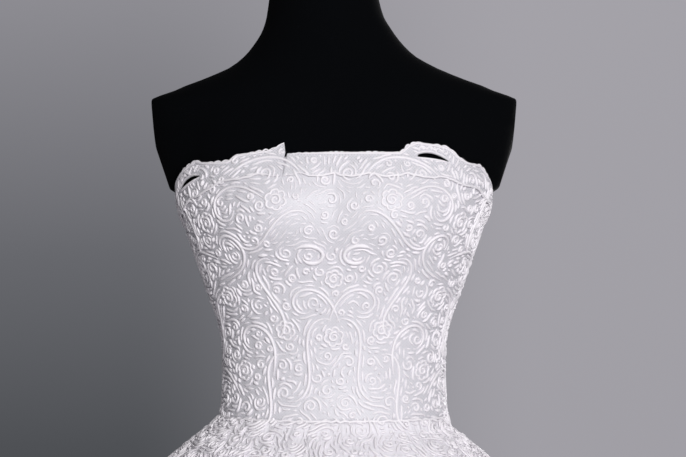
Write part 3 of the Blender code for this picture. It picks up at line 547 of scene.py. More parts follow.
def cloth_piece(name, across_cells, up_cells, place, look, thickness, drop=None):
    """A grid laid on the body by place(across, up), which takes and gives whole arrays."""
    bm = bmesh.new()
    bmesh.ops.create_grid(bm, x_segments=across_cells, y_segments=up_cells, size=1)
    flat = np.array([vertex.co for vertex in bm.verts])
    for vertex, point in zip(bm.verts, place((flat[:, 0] + 1) / 2, (flat[:, 1] + 1) / 2)):
        vertex.co = point
    if drop:
        unwanted = [face for face in bm.faces if drop(face.calc_center_median())]
        bmesh.ops.delete(bm, geom=unwanted, context="FACES")
    bmesh.ops.remove_doubles(bm, verts=bm.verts, dist=0.01 * MM)
    bmesh.ops.recalc_face_normals(bm, faces=bm.faces)
    first = next(iter(bm.faces))
    if first.normal.dot(first.calc_center_median() * Vector((1, 1, 0))) < 0:
        bmesh.ops.reverse_faces(bm, faces=bm.faces)
    piece = finish_piece(name, mesh_from(name, bm), look)
    wall = piece.modifiers.new("thickness", "SOLIDIFY")
    wall.thickness = thickness
    wall.offset = -1
    return piece


def node_names(start):
    """The solid nodes whose names start so."""
    return sorted(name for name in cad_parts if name.startswith(start))


# %% [markdown]
# ## The bodice
#
# Seven satin panels are joined by seams that run from the top edge to the waist. Under the lace they read as
# one smooth shell, open only at the centre back for the zip, so it is laid here as one fine cloth.

# %% The satin bodice
ZIP_HALF_WIDTH = 1.5 * MM
ZIP_FOOT_Z = 930 * MM
BODICE_ACROSS, BODICE_UP = 210, 66


def bodice_place(across, up):
    clear = (ZIP_HALF_WIDTH + SEAM_GAP) / float(bodice_radius(math.pi, 1.1))
    angle = -math.pi + clear + (math.tau - 2 * clear) * across
    z = WAIST_SEAM_Z + (bodice_top_at(signed(angle)) - WAIST_SEAM_Z) * up
    return round_points(bodice_radius(angle, z), angle, z)


bodice = cloth_piece("bodice_satin", BODICE_ACROSS, BODICE_UP, bodice_place, SATIN, BODICE_WALL)
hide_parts(*node_names("bodice_"))
print("bodice cells:", BODICE_ACROSS * BODICE_UP)

# %% [markdown]
# ## The skirt
#
# Seven gores of layered tulle are gathered into the waist seam. Three flutes in each gore open out towards
# the hem. Tulle never falls evenly, so smaller creases are set one by one between the flutes, each with its
# own place, width, depth and length.

# %% Small creases in the tulle
# Each crease: its angle and width in degrees, then its depth, upper end and lower end in millimetres
CREASES = (
    (-171, 3.0, 4.5, 900, 450), (-158, 2.2, 6.0, 820, 100), (-149, 3.4, 3.5, 700, 200),
    (-137, 2.6, 5.5, 930, 300), (-124, 3.0, 4.0, 600, 20), (-113, 2.0, 6.5, 880, 380),
    (-99, 3.2, 4.5, 760, 50), (-87, 2.4, 6.0, 910, 520), (-76, 2.8, 3.5, 660, 80),
    (-61, 2.2, 5.5, 850, 250), (-52, 3.3, 5.0, 940, 600), (-38, 2.5, 4.0, 720, 40),
    (-27, 2.9, 6.0, 890, 350), (-14, 2.1, 4.5, 640, 120), (-4, 3.1, 5.5, 920, 480),
    (9, 2.6, 3.5, 780, 30), (21, 3.0, 6.0, 870, 280), (35, 2.3, 5.0, 950, 570),
    (46, 2.7, 4.0, 690, 60), (58, 3.2, 5.5, 900, 400), (71, 2.2, 4.5, 800, 160),
    (83, 2.9, 6.5, 930, 330), (96, 2.5, 3.5, 620, 20), (109, 3.1, 5.0, 860, 460),
    (118, 2.1, 6.0, 740, 90), (132, 2.8, 4.5, 920, 550), (145, 3.3, 4.0, 670, 50),
    (156, 2.4, 5.5, 880, 310), (169, 2.7, 5.0, 790, 140),
)
CREASE_DEPTH_SCALE = 1.7
CREASE_WIDTH_SCALE = 1.6
# The free edge of the net ripples a little, unevenly
RIPPLE_DEPTH = 2.6 * MM
RIPPLE_TOP_Z = 0.16


def creases(angle, z):
    """How far the small creases move the tulle in or out."""
    total = np.zeros(np.broadcast(angle, z).shape)
    for middle, width, depth, top, foot in CREASES:
        off = (np.degrees(angle) - middle + 180 + 3 * np.sin(z * 9 + middle)) % 360 - 180
        along = np.clip((top / 1000 - z) / (top - foot) * 1000, 0, 1)
        deep = CREASE_DEPTH_SCALE * depth / 1000 * (1 if middle % 2 else -1)
        total += deep * hump(off, width * CREASE_WIDTH_SCALE) * np.sin(math.pi * along)
    edge = np.clip((RIPPLE_TOP_Z - z) / RIPPLE_TOP_Z, 0, 1) ** 2
    ripple = np.sin(61 * angle + 3 * np.sin(4 * angle)) * (0.6 + 0.4 * np.sin(7 * angle + 1))
    return total + RIPPLE_DEPTH * edge * ripple


print("creases:", len(CREASES))

# %% The tulle skirt
SKIRT_ACROSS, SKIRT_UP = 504, 96
SKIRT_WALL = 2 * MM
SKIRT_LACE_LIFT = 0.9 * MM
# The rows of the grid lie closer together towards the waist, where the cloth turns more
ROW_CROWDING = 1.25
ZIP_END_TAPER = 4 * MM


def lace_edge_z(angle):
    """The scalloped lower edge of the lace on the skirt."""
    half_turns = GORES * FLUTES_IN_GORE * (angle + math.pi / GORES) / 2
    return LACE_EDGE_Z + LACE_SCALLOP * (1 - 2 * np.abs(np.sin(half_turns)))


def skirt_place(across, up):
    z = HEM_Z + (WAIST_SEAM_Z - SEAM_GAP - HEM_Z) * (1 - (1 - up) ** ROW_CROWDING)
    open_at_zip = np.clip((z - ZIP_FOOT_Z) / ZIP_END_TAPER, 0, 1) * (ZIP_HALF_WIDTH + SEAM_GAP)
    clear = open_at_zip / skirt_radius(math.pi, z)
    angle = (math.tau * across - math.pi) * (1 - clear / math.pi)
    return skirt_points(angle, z, creases(angle, z))


skirt = cloth_piece("skirt_tulle", SKIRT_ACROSS, SKIRT_UP, skirt_place, TULLE, SKIRT_WALL)
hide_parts(*node_names("skirt_"))
print("skirt cells:", SKIRT_ACROSS * SKIRT_UP)

# %% Seams and stitches
# Where two gores meet, a narrow ridge shows on the outside. The hem is turned up and stitched all round.
SEAM_RADIUS = 0.8 * MM
STITCH_RADIUS = 0.45 * MM
STITCH_LENGTH = 4.0 * MM
STITCH_GAP = 2.2 * MM
HEM_STITCH_Z = 20 * MM


def thread_piece(name, lines, radius, look, sizes=None, rounding=0):
    """Threads along lines of points as one mesh piece, all of one size or with a size at each point."""
    curve = bpy.data.curves.new(name, "CURVE")
    curve.dimensions = "3D"
    curve.bevel_depth = radius
    curve.bevel_resolution = rounding
    curve.use_fill_caps = True
    for number, points in enumerate(lines):
        spline = curve.splines.new("POLY")
        spline.points.add(len(points) - 1)
        spline.points.foreach_set("co", np.column_stack((points, np.ones(len(points)))).ravel())
        if sizes:
            spline.points.foreach_set("radius", sizes[number])
    holder = new_object(name, curve)
    bpy.context.view_layer.update()
    mesh = bpy.data.meshes.new_from_object(holder.evaluated_get(bpy.context.evaluated_depsgraph_get()))
    bpy.data.objects.remove(holder)
    mesh.name = name
    mesh.materials.clear()
    return finish_piece(name, mesh, look)


def on_skirt(angle, z):
    """Points just off the finished tulle, with its creases."""
    return skirt_points(angle, z, creases(angle, z) + 0.1 * MM)


def measured(points):
    """The length of a line, and a function that gives the points at some distances along it."""
    along = np.append(0, np.cumsum(np.linalg.norm(np.diff(points, axis=0), axis=1)))
    return along[-1], lambda marks: np.column_stack([np.interp(marks, along, part) for part in points.T])


seam_z = np.linspace(HEM_Z + 4 * MM, LACE_EDGE_Z - 10 * MM, 150)
seam_lines = [on_skirt(np.full(150, math.tau * (gore + 0.5) / GORES), seam_z) for gore in range(GORES)]
seams = thread_piece("skirt_seams", seam_lines, SEAM_RADIUS, TULLE)
hem_length, on_hem = measured(on_skirt(np.linspace(-math.pi, math.pi, 5000), np.full(5000, HEM_STITCH_Z)))
stitches = [
    on_hem(np.linspace(start, start + STITCH_LENGTH, 3))
    for start in np.arange(0, hem_length - STITCH_LENGTH, STITCH_LENGTH + STITCH_GAP)
]
hem_stitches = thread_piece("hem_stitches", stitches, STITCH_RADIUS, CORD)
print("seams:", len(seam_lines), "hem stitches:", len(stitches))

# %% [markdown]
# ## The lace border
#
# A strip of the same lace is sewn over the top edge and stands a little above it. Its free edge follows the
# lace's own motifs, and two long gaps in the pattern show the form behind. The strip is laid from the same
# tables as the solid model, only finer.

# %% Lace border pieces
BORDER_BAND_OFFSET = SEAM_GAP + LACE_EASE + LACE_WALL
LEAST_GAP = 0.4 * MM
FRONT_CELL_DEGREES = 0.7
ZIP_CLEAR = 3.2 * MM


def border_points(angle, z):
    """The outer face of the lace border."""
    point, _, _, normal = gown_frame(angle, z)
    return point + normal * BORDER_BAND_OFFSET


def border_foot(degrees):
    """The waved lower edge of the lace border."""
    wave = np.abs(np.sin(math.pi * degrees / BORDER_WAVE_TURN))
    return bodice_top_at(degrees) - BORDER_DEPTH - BORDER_WAVE * wave


def slit_gap(degrees, slit):
    """How tall the slit is at an angle, in metres."""
    middle, reach = (slit[0] + slit[1]) / 2, (slit[1] - slit[0]) / 2
    share = np.clip(np.abs(degrees - middle) / reach, 0, 1)
    return SLIT_HEIGHT * (1 - share * share)


def back_scallop(share):
    """How far the back border stands over the bodice, from the side to the zip."""
    return BACK_SCALLOP_RISE * (0.3 + 0.7 * np.abs(np.sin(math.pi * BACK_SCALLOPS * share)))


def border_piece(name, across_cells, up_cells, place, drop=None):
    """A strip of the border, in place of the solid one."""
    piece = cloth_piece(
        name + "_fine", across_cells, up_cells, place, LACE_GROUND, LACE_WALL, drop=drop
    )
    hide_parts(name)
    return piece


def front_border(name, edge, slit):
    """A stretch of the border over the front, with its slit cut through."""
    angles, heights = edge
    low_rows, gap_rows, high_rows = 10, 1, 4
    rows = low_rows + gap_rows + high_rows

    def place(across, up):
        degrees = angles[0] + (angles[-1] - angles[0]) * across
        row = np.round(up * rows)
        top = bodice_top_at(degrees) + SEAM_GAP
        above = top + np.maximum(slit_gap(degrees, slit), LEAST_GAP)
        foot = border_foot(degrees)
        low = foot + (top - foot) * np.clip(row / low_rows, 0, 1)
        share = np.clip((row - low_rows - gap_rows) / high_rows, 0, 1)
        high = above + (np.interp(degrees, angles, heights) - above) * share
        return border_points(np.radians(degrees), np.where(row <= low_rows, low, high))

    def in_slit(centre):
        degrees = math.degrees(math.atan2(centre.x, -centre.y))
        above = centre.z - float(bodice_top_at(degrees)) - SEAM_GAP
        gap = float(slit_gap(degrees, slit))
        return slit[0] < degrees < slit[1] and 0.2 * gap < above < 0.8 * gap and gap > LEAST_GAP

    return border_piece(name, int((angles[-1] - angles[0]) / FRONT_CELL_DEGREES), rows, place, in_slit)


def back_border(name, side):
    """The border from the side to the zip, in even scallops."""
    start = math.radians(BACK_BORDER_FROM)
    end = math.pi - ZIP_CLEAR / float(bodice_radius(math.pi, TOP_EDGE[-1][1] / 1000))

    def place(across, up):
        angle = start + (end - start) * across
        edge = bodice_top_at(signed(angle)) + back_scallop(across)
        foot = border_foot(np.degrees(angle))
        return border_points(side * angle, foot + (edge - foot) * up)

    return border_piece(name, 120, 12, place)


borders = [
    front_border("lace_border_front_left", FRONT_EDGES[0], SLIT_LEFT),
    front_border("lace_border_front_right", FRONT_EDGES[1], SLIT_RIGHT),
    back_border("lace_border_back_right", 1),
    back_border("lace_border_back_left", -1),
]
print("border pieces:", [piece.name for piece in borders])

# %% [markdown]
# ## The corded lace
#
# A lace maker couches a thick cord down on net. Large scrolls and small roses come first, and finer cords
# then run beside them, a few millimetres apart, until the net is covered in swirls. The lace here is drawn
# in the same order. The large scrolls come from the solid model's own table. The finer cords are traced
# step by step: each follows the way its neighbours run and stops where it would crowd them. The scrolls and
# roses are the same on both sides of the centre front, as on a real bridal bodice, and the finer cords are
# not.

# %% Motifs as lines in millimetres
HEART = 1.2


def spiral(rim, turns):
    """A cord that curls in from its rim to its heart."""
    share = np.linspace(0, 1, int(26 * turns) + 4)
    reach = rim + (HEART - rim) * share
    heading = math.tau * turns * share
    return np.column_stack((reach * np.cos(heading), reach * np.sin(heading)))


def turned(points, degrees):
    """The points turned about the origin."""
    c, s = math.cos(math.radians(degrees)), math.sin(math.radians(degrees))
    return points @ np.array(((c, s), (-s, c)))


def rose(r):
    """A small rose as lines with their thickness: a spiral heart in a ring of six petals."""
    bow = np.radians(np.linspace(-100, 100, 14))
    petal = np.column_stack((r * 0.33 * np.cos(bow) + r * 0.52, r * 0.33 * np.sin(bow)))
    return [(spiral(r * 0.62 - 1.6, 1.5), 1.0)] + [(turned(petal, 60 * i), 0.9) for i in range(6)]


def scroll_line(bend, length, turn, tilt):
    """One of the large scrolls laid flat: a hook, a double curl or a plain arc."""
    share = (np.arange(SCROLL_STEPS) + 0.5) / SCROLL_STEPS
    turns = {
        "hook": -turn * share**2.2,
        "curl": turn / 2 * np.abs(2 * share - 1) ** 2.4,
        "arc": turn * (0.5 - share),
    }
    heading = np.radians(tilt + turns[bend])
    path = np.cumsum(np.column_stack((np.cos(heading), np.sin(heading))), axis=0) * length / SCROLL_STEPS
    return path - path.mean(axis=0)


print("cords in a rose:", len(rose(10)))

# %% Lines on the cloth
# How far the cords keep off the zip, the slits and the lace's own edges
ZIP_ROOM = 2.5 * MM
SLIT_ROOM = 1.6 * MM
EDGE_ROOM = 2 * MM
BACK_RADIUS = 0.1


def lift_at(angle, z):
    """How far the lace's ground stands off the shell: more where the border or the skirt lace is."""
    on_border = BORDER_BAND_OFFSET * softened((z - border_foot(signed(angle))) / (2 * MM) + 1)
    on_skirt = SKIRT_LACE_LIFT * softened((WAIST_SEAM_Z - z) / (3 * MM))
    return np.where(z < WAIST_SEAM_Z, on_skirt, on_border)


def laid(line, angle, z, tilt, step):
    """A motif's points, in mm and a set step apart, as (angle, height) places on the gown."""
    length, at = measured(line)
    marks = np.linspace(0, length, max(int(round(length / step)), 2) + 1)
    flat = turned(at(marks), tilt) * MM
    _, across, up, _ = gown_frame(np.array(angle), np.array(z))
    return np.column_stack(
        (angle + flat[:, 0] / np.linalg.norm(across), z + flat[:, 1] / np.linalg.norm(up))
    )


def on_gown(places, out):
    """The (angle, height) places as points just off the gown's outer face."""
    angle, z = places.T
    point, _, _, normal = gown_frame(angle, z)
    return point + normal * (lift_at(angle, z) + out)[:, None]


def inside_lace(places):
    """Which places lie on the lace: below its free edge, off the zip and the slits, above the skirt edge."""
    angle, z = places.T
    degrees = signed(angle)
    at_back = np.abs(degrees) > BACK_BORDER_FROM
    top = np.where(at_back, bodice_top_at(degrees) + EDGE_ROOM, border_top(degrees) - EDGE_ROOM)
    zip_clear = (180 - np.abs(degrees)) / 360 * math.tau * BACK_RADIUS > ZIP_HALF_WIDTH + ZIP_ROOM
    bottom = lace_edge_z(angle) + ZIP_ROOM
    fine = (z < top) & (z > bottom) & (zip_clear | (z < ZIP_FOOT_Z - EDGE_ROOM))
    above = z - bodice_top_at(degrees) - SEAM_GAP
    for slit in (SLIT_LEFT, SLIT_RIGHT):
        hit = (degrees > slit[0] - 1) & (degrees < slit[1] + 1) & (above > -SLIT_ROOM)
        fine &= ~(hit & (above < slit_gap(degrees, slit) + SLIT_ROOM))
    return fine


cords = []


def add_cord(places, thickness):
    """Keeps a cord for drawing, cut wherever it would leave the lace."""
    keep = inside_lace(places)
    cuts = np.nonzero(np.diff(keep))[0] + 1
    for part, kept in zip(np.split(places, cuts), np.split(keep, cuts)):
        if kept[0] and len(part) >= 3:
            cords.append((part, thickness))


# %% The large scrolls, the roses and the small curls
MIRROR = np.array((-1, 1))
main_lines = []
rng = random.Random(7)


def add_line(places, thickness):
    """Keeps a cord, and notes it as one that finer cords run beside."""
    main_lines.append(places)
    add_cord(places, thickness)


def add_both(line, degrees, z, tilt, thickness, step=2.4):
    """Adds a line and its mirror image."""
    places = laid(line, math.radians(degrees), z, tilt, step)
    add_line(places, thickness)
    if degrees:
        add_line(places * MIRROR, thickness)


for bend, degrees, z, length, turn, tilt in SCROLLS:
    add_both(scroll_line(bend, length, turn, tilt), degrees, z / 1000, 0, 1.1)
# The open pair of scrolls at the centre front, back to back, wider than high
hook_turn = np.radians(np.linspace(38, 352, 30))
hook_reach = 12.5 - 7.5 * np.linspace(0, 1, 30) ** 1.5
hook = np.column_stack((hook_reach * np.cos(hook_turn) * 1.3, hook_reach * np.sin(hook_turn) * 0.92))
add_both(hook, 11.6, 1.190, 0, 1.6)
for degrees, z, reach in ROSES:
    for line, thickness in rose(reach):
        add_both(line, degrees, z / 1000, 18, thickness, 1.9)
print("cords in the large motifs:", len(cords))

# %% A chart of the gown
# The chart holds, for a grid of angles and heights, the point on the gown and how far one metre across or up
# the cloth moves the angle and the height.
CHART_ANGLES = np.linspace(-math.pi, math.pi, 361)
CHART_HEIGHTS = np.linspace(LACE_EDGE_Z - 10 * MM, 1.302, 131)
grid_angle, grid_z = np.meshgrid(CHART_ANGLES, CHART_HEIGHTS, indexing="ij")
grid_places = np.column_stack((grid_angle.ravel(), grid_z.ravel()))
grid_at, across, up, _ = gown_frame(grid_angle, grid_z)
per_metre = np.stack((1 / np.linalg.norm(across, axis=-1), 1 / np.linalg.norm(up, axis=-1)), axis=-1)
allowed = inside_lace(grid_places).reshape(grid_z.shape)


def line_directions(lines):
    """Every line's points on the gown, with the way the line runs there as a doubled angle."""
    points, doubled = [], []
    for line in lines:
        point, along_across, along_up, _ = gown_frame(*line.T)
        step = np.gradient(line, axis=0)
        east = step[:, 0] * np.linalg.norm(along_across, axis=1)
        north = step[:, 1] * np.linalg.norm(along_up, axis=1)
        heading = 2 * np.arctan2(north, east)
        points.append(point)
        doubled.append(np.column_stack((np.cos(heading), np.sin(heading))))
    return np.concatenate(points), np.concatenate(doubled)


def tree_of(points):
    """The points sorted for quick searches."""
    tree = KDTree(len(points))
    for number, point in enumerate(points):
        tree.insert(point, number)
    tree.balance()
    return tree


# Small curls are scattered between the large motifs: their size, and how many are wanted
CURLS = ((6.4, 90), (5.2, 150), (4.2, 190), (3.4, 160))
tree = tree_of(line_directions(main_lines)[0])
spots = grid_places[allowed.ravel()]
spots_at = gown_points(*spots.T)
room = np.array([tree.find(point)[2] for point in spots_at])
for size, wanted in CURLS:
    for number in range(wanted):
        fitting = np.nonzero(room > (size + 1.2) * MM)[0]
        if not len(fitting):
            break
        chosen = fitting[rng.randrange(len(fitting))]
        curl = spiral(size, rng.uniform(1.05, 1.5)) * (1, rng.choice((1, -1)))
        add_line(laid(curl, *spots[chosen], rng.uniform(0, 360), 1.8), rng.uniform(0.85, 1.05))
        room = np.minimum(room, np.linalg.norm(spots_at - spots_at[chosen], axis=1) - (size + 3.5) * MM)
print("lines to run beside:", len(main_lines))

# %% Which way the finer cords run
NEAR = 2.5 * MM
NEIGHBOURS = 14
line_points, line_doubled = line_directions(main_lines)
tree = tree_of(line_points)
field = np.zeros((*grid_z.shape, 2))
for cell in np.ndindex(grid_z.shape):
    found = tree.find_n(grid_at[cell], NEIGHBOURS)
    weights = np.array([1 / (away**3 + NEAR**3) for _, _, away in found])
    field[cell] = weights @ line_doubled[[number for _, number, _ in found]]
# Nobody's hand is quite steady, so the way wanders by up to about 20 degrees either side
x, y, z = np.moveaxis(grid_at, -1, 0)
wander = np.sin(x * 310 + 2.0 * np.sin(z * 190)) * np.sin(z * 270 + 1.3)
wander = wander + 0.6 * np.sin(x * 520 + y * 410 + z * 130)
doubled_turn = np.arctan2(field[..., 1], field[..., 0]) + 2 * math.radians(14) * wander
field = np.stack((np.cos(doubled_turn), np.sin(doubled_turn)), axis=-1)
chart = np.concatenate((grid_at, per_metre, field), axis=2)
print("chart cells:", allowed.size, "on the lace:", int(allowed.sum()))


def read_chart(angle, z):
    """The chart's values at a place, blended from its four nearest cells."""
    i = (angle - CHART_ANGLES[0]) / (CHART_ANGLES[1] - CHART_ANGLES[0])
    j = (z - CHART_HEIGHTS[0]) / (CHART_HEIGHTS[1] - CHART_HEIGHTS[0])
    a, b = int(i), int(j)
    if i < 0 or j < 0 or a + 1 >= len(CHART_ANGLES) or b + 1 >= len(CHART_HEIGHTS):
        return None
    u, v = i - a, j - b
    if not allowed[a + (u > 0.5), b + (v > 0.5)]:
        return None
    low = chart[a, b] * (1 - u) + chart[a + 1, b] * u
    high = chart[a, b + 1] * (1 - u) + chart[a + 1, b + 1] * u
    return low * (1 - v) + high * v


# %% Trace the finer cords
CORD_PITCH = 3.85 * MM
TRACE_STEP = 1.2 * MM
# A cord ends where its way turns by more than about 35 degrees in one step
STRAIGHTEST_KINK = 0.82
LEAF_SHARE = 0.16
# Cords keep this far apart, start this far apart, and may come back on themselves after this length
LEAST_ROOM = CORD_PITCH * 0.74
START_ROOM = CORD_PITCH * 0.95
OWN_LOOP = 2.2 * CORD_PITCH
SIDE_STEP = 1.04
# The photograph shows the cords fainter in the middle of the bust
QUIET_DEGREES = 24
QUIET_Z = (1.196, 1.262)
taken = {}


def cell_of(point):
    return tuple(int(math.floor(c / CORD_PITCH)) for c in point)


def take(point, owner, number):
    """Marks a point of a cord as taken."""
    taken.setdefault(cell_of(point), []).append((*point, owner, number))


def is_clear(point, reach, owner=-1, number=0):
    """Whether no other cord lies within reach of a point, nor an older stretch of the same cord."""
    x, y, z = point
    i, j, k = cell_of(point)
    for cell in [(i + a, j + b, k + c) for a in (-1, 0, 1) for b in (-1, 0, 1) for c in (-1, 0, 1)]:
        for px, py, pz, other, index in taken.get(cell, ()):
            if other == owner and abs(number - index) * TRACE_STEP < OWN_LOOP:
                continue
            if (px - x) ** 2 + (py - y) ** 2 + (pz - z) ** 2 < reach * reach:
                return False
    return True


def trace(angle, z, owner, longest):
    """A finer cord through a place, as (angle, height) places: it follows the field both ways."""
    halves = []
    for way in (1, -1):
        places = []
        here = (angle, z)
        heading = None
        for number in range(int(longest / 2 / TRACE_STEP)):
            found = read_chart(*here)
            if found is None or not is_clear(found[:3], LEAST_ROOM, owner, number * way):
                break
            turn = math.atan2(found[6], found[5]) / 2
            direction = np.array((math.cos(turn), math.sin(turn)))
            if heading is None:
                heading = direction * way
            agree = direction @ heading
            if abs(agree) < STRAIGHTEST_KINK:
                break
            heading = direction = direction if agree > 0 else -direction
            places.append(here)
            take(found[:3], owner, number * way)
            step = direction * found[3:5] * TRACE_STEP
            here = (here[0] + step[0], here[1] + step[1])
        halves.append(places)
    return np.array(halves[1][:0:-1] + halves[0])


for point in line_points:
    take(point, -2, 0)
seeds = []


def seed_beside(places):
    """Adds places one pitch to either side of a cord, where the next cords may start."""
    for i in range(1, len(places) - 1, 2):
        found = read_chart(*places[i])
        if found is None:
            continue
        step = (places[i + 1] - places[i - 1]) / found[3:5]
        size = np.linalg.norm(step)
        if size > 0:
            side = np.array((-step[1], step[0])) / size * CORD_PITCH * SIDE_STEP * found[3:5]
            seeds.extend((places[i] + side, places[i] - side))


for line in main_lines:
    seed_beside(line)
scattered = spots[::2].tolist()
rng.shuffle(scattered)
fine = 0
while seeds or scattered:
    angle, z = seeds.pop(0) if seeds else scattered.pop()
    found = read_chart(angle, z)
    if found is None or not is_clear(found[:3], START_ROOM):
        continue
    leaf_shaped = rng.random() < LEAF_SHARE
    longest = rng.uniform(8, 14) * MM if leaf_shaped else rng.uniform(11, 38) * MM
    places = trace(angle, z, fine, longest)
    fine += 1
    if len(places) < 3:
        continue
    seed_beside(places)
    quiet = abs(math.degrees(angle)) < QUIET_DEGREES and QUIET_Z[0] < z < QUIET_Z[1]
    weight = rng.uniform(0.8, 1.1) * (0.6 if quiet else 1.0) * (1.4 if leaf_shaped else 1.0)
    kept = np.unique(np.linspace(0, len(places) - 1, max(len(places) // 2, 3)).round().astype(int))
    add_cord(places[kept], weight)
print("finer cords:", fine, "cords in all:", len(cords))

# %% Cords along the edges
BACK_BORDER_TO = 178
SIDE_JOIN = 88.5


def edge_cord(angles, heights, thickness=1.0):
    """A cord that follows an edge, given in degrees and heights."""
    cords.append((np.column_stack((np.radians(angles), heights)), thickness))


for ends, tops in FRONT_EDGES:
    degrees = np.arange(ends[0] + 0.6, ends[-1] - 0.6, 1.2)
    edge_cord(degrees, np.interp(degrees, ends, tops) - 1.0 * MM, 0.9)
    # Small loops stand on the edge, and nearly lie flat at the centre front
    degrees = np.arange(ends[0] + 2.5, ends[-1] - 1.2, 0.42)
    loops = 1.9 * MM * np.abs(np.sin(math.pi * degrees / 3.1 + 0.5 * np.sin(degrees / 5)))
    uneven = 0.55 + 0.45 * np.sin(degrees * 0.37 + 1)
    standing = np.where((degrees < -24) | (degrees > 30), 1, 0.5)
    edge_cord(degrees, np.interp(degrees, ends, tops) - 0.6 * MM + loops * uneven * standing, 0.75)
for side in (1, -1):
    share = np.linspace(0.005, 0.99, 90)
    degrees = side * (BACK_BORDER_FROM + (BACK_BORDER_TO - BACK_BORDER_FROM) * share)
    edge_cord(degrees, bodice_top_at(degrees) + back_scallop(share) - 1.2 * MM, 0.8)
# The front strips end at the sides, where a cord covers the join with the back ones
for join in (SIDE_JOIN, -SIDE_JOIN):
    up = np.linspace(border_foot(join) + 0.5 * MM, bodice_top_at(join) + 3.5 * MM, 9)
    edge_cord(np.full(9, join), up, 1.25)
for slit in (SLIT_LEFT, SLIT_RIGHT):
    degrees = np.linspace(slit[0] + 0.5, slit[1] - 0.5, 22)
    top = bodice_top_at(degrees) + SEAM_GAP
    edge_cord(degrees, top - 1.2 * MM, 0.8)
    edge_cord(degrees, top + np.maximum(slit_gap(degrees, slit), LEAST_GAP) + 1.2 * MM, 0.8)
    # A wavy cord fills the narrow band over the slit
    degrees = np.linspace(slit[0] + 1, slit[1] - 1, 60)
    above = bodice_top_at(degrees) + SEAM_GAP + slit_gap(degrees, slit)
    band = border_top(degrees) - above
    edge_cord(degrees, above + band * (0.56 + 0.14 * np.sin(math.tau * degrees / 3.4)), 0.85)
hem = np.arange(-180, 180.1, 0.75)
edge_cord(hem, lace_edge_z(np.radians(hem)) + 1.2 * MM)
# Wavy cords hide the foot of the border and the waist seam, as hand sewing does
for start, end in ((-178, -89), (-88, -23.5), (-22.5, 88), (89, 178)):
    degrees = np.arange(start, end, 0.6)
    wave = np.sin(degrees * 1.1 + 2.0 * np.sin(degrees * 0.17)) * (0.7 + 0.3 * np.sin(degrees * 0.31))
    edge_cord(degrees, border_foot(degrees) + (0.4 * wave - 0.1) * MM, 0.95)
for start, end in ((-177, -90), (-90, 90), (90, 177)):
    degrees = np.arange(start, end + 0.1, 0.6)
    wave = np.sin(degrees * 0.9 + 2.4 * np.sin(degrees * 0.13)) * (0.6 + 0.4 * np.sin(degrees * 0.23 + 1))
    edge_cord(degrees, WAIST_SEAM_Z + (0.1 + 0.7 * wave) * MM)
print("cords with the edges:", len(cords))

# %% Draw the cords
# Each cord is a smooth line with a round bevel, thinned at both its ends, and half sunk in the cloth.
CORD_RADIUS = 1.3 * MM
SHARP_BEND = 15


def thin_ends(count):
    """Point sizes along a cord: full in the middle, thinner at both ends."""
    share = np.linspace(0, 1, count)
    return np.clip(np.sin(math.pi * np.clip(share, 0.04, 0.96)) * 2.2, 0.35, 1)


def rounded(places, on_cloth):
    """The same line, with a point added on the curve between each two where it bends sharply."""
    steps = np.diff(on_cloth, axis=0)
    steps /= np.linalg.norm(steps, axis=1, keepdims=True)
    if np.degrees(np.arccos(np.clip((steps[1:] * steps[:-1]).sum(axis=1), -1, 1))).mean() < SHARP_BEND:
        return places
    padded = np.vstack((2 * places[0] - places[1], places, 2 * places[-1] - places[-2]))
    finer = np.repeat(places, 2, axis=0)[:-1]
    finer[1::2] = (9 * (padded[1:-2] + padded[2:-1]) - padded[:-3] - padded[3:]) / 16
    return finer


def split_like(whole, lines):
    """A long array cut back into a part for each line."""
    return np.split(whole, np.cumsum([len(line) for line in lines])[:-1])


def draw_cords(name, chosen):
    """The chosen cords as one mesh piece. The cloth is asked once for all their points, which is quicker."""
    lines, thicknesses = zip(*chosen)
    on_cloth = split_like(gown_points(*np.concatenate(lines).T), lines)
    lines = [rounded(places, seen) for places, seen in zip(lines, on_cloth)]
    proud = np.repeat(CORD_RADIUS * 0.35 * np.array(thicknesses), [len(places) for places in lines])
    laid_lines = split_like(on_gown(np.concatenate(lines), proud), lines)
    sizes = [thin_ends(len(line)) * thickness for line, thickness in zip(lines, thicknesses)]
    return thread_piece(name, laid_lines, CORD_RADIUS, CORD, sizes, rounding=1)


def region(places):
    """Which piece a cord belongs to, by where its middle lies."""
    angle, z = places[len(places) // 2]
    degrees = float(signed(angle))
    if z > float(border_foot(degrees)):
        at_back = abs(degrees) > SIDE_JOIN + 0.1
        side = "right" if degrees > (0 if at_back else BORDER_FRONT_RIGHT[0][0]) else "left"
        return f"border_{'back' if at_back else 'front'}_{side}"
    part = "skirt" if z < WAIST_SEAM_Z else "bodice"
    return part + ("_front" if abs(degrees) < 90 else "_back")


groups = {}
for places, thickness in cords:
    groups.setdefault(region(places), []).append((places, thickness))
lace_pieces = {}
for part, chosen in sorted(groups.items()):
    lace_pieces[part] = draw_cords(f"lace_cords_{part}", chosen)
    triangles = sum(len(face.vertices) - 2 for face in lace_pieces[part].data.polygons)
    print(part, "cords:", len(chosen), "triangles:", triangles)

# %% [markdown]
# ## The dress form and its stand
#
# The form is a smooth black torso with flat ovals where arms would be. Its jersey cover is stretched tight,
# so a fine closed body with a knitted surface is enough. The stand under it is turned from steel and powder
# coated. All of them are stacks of rings, so each starts as a cylinder whose rings are then set one by one.

# %% The jersey form
FORM_ACROSS = 140


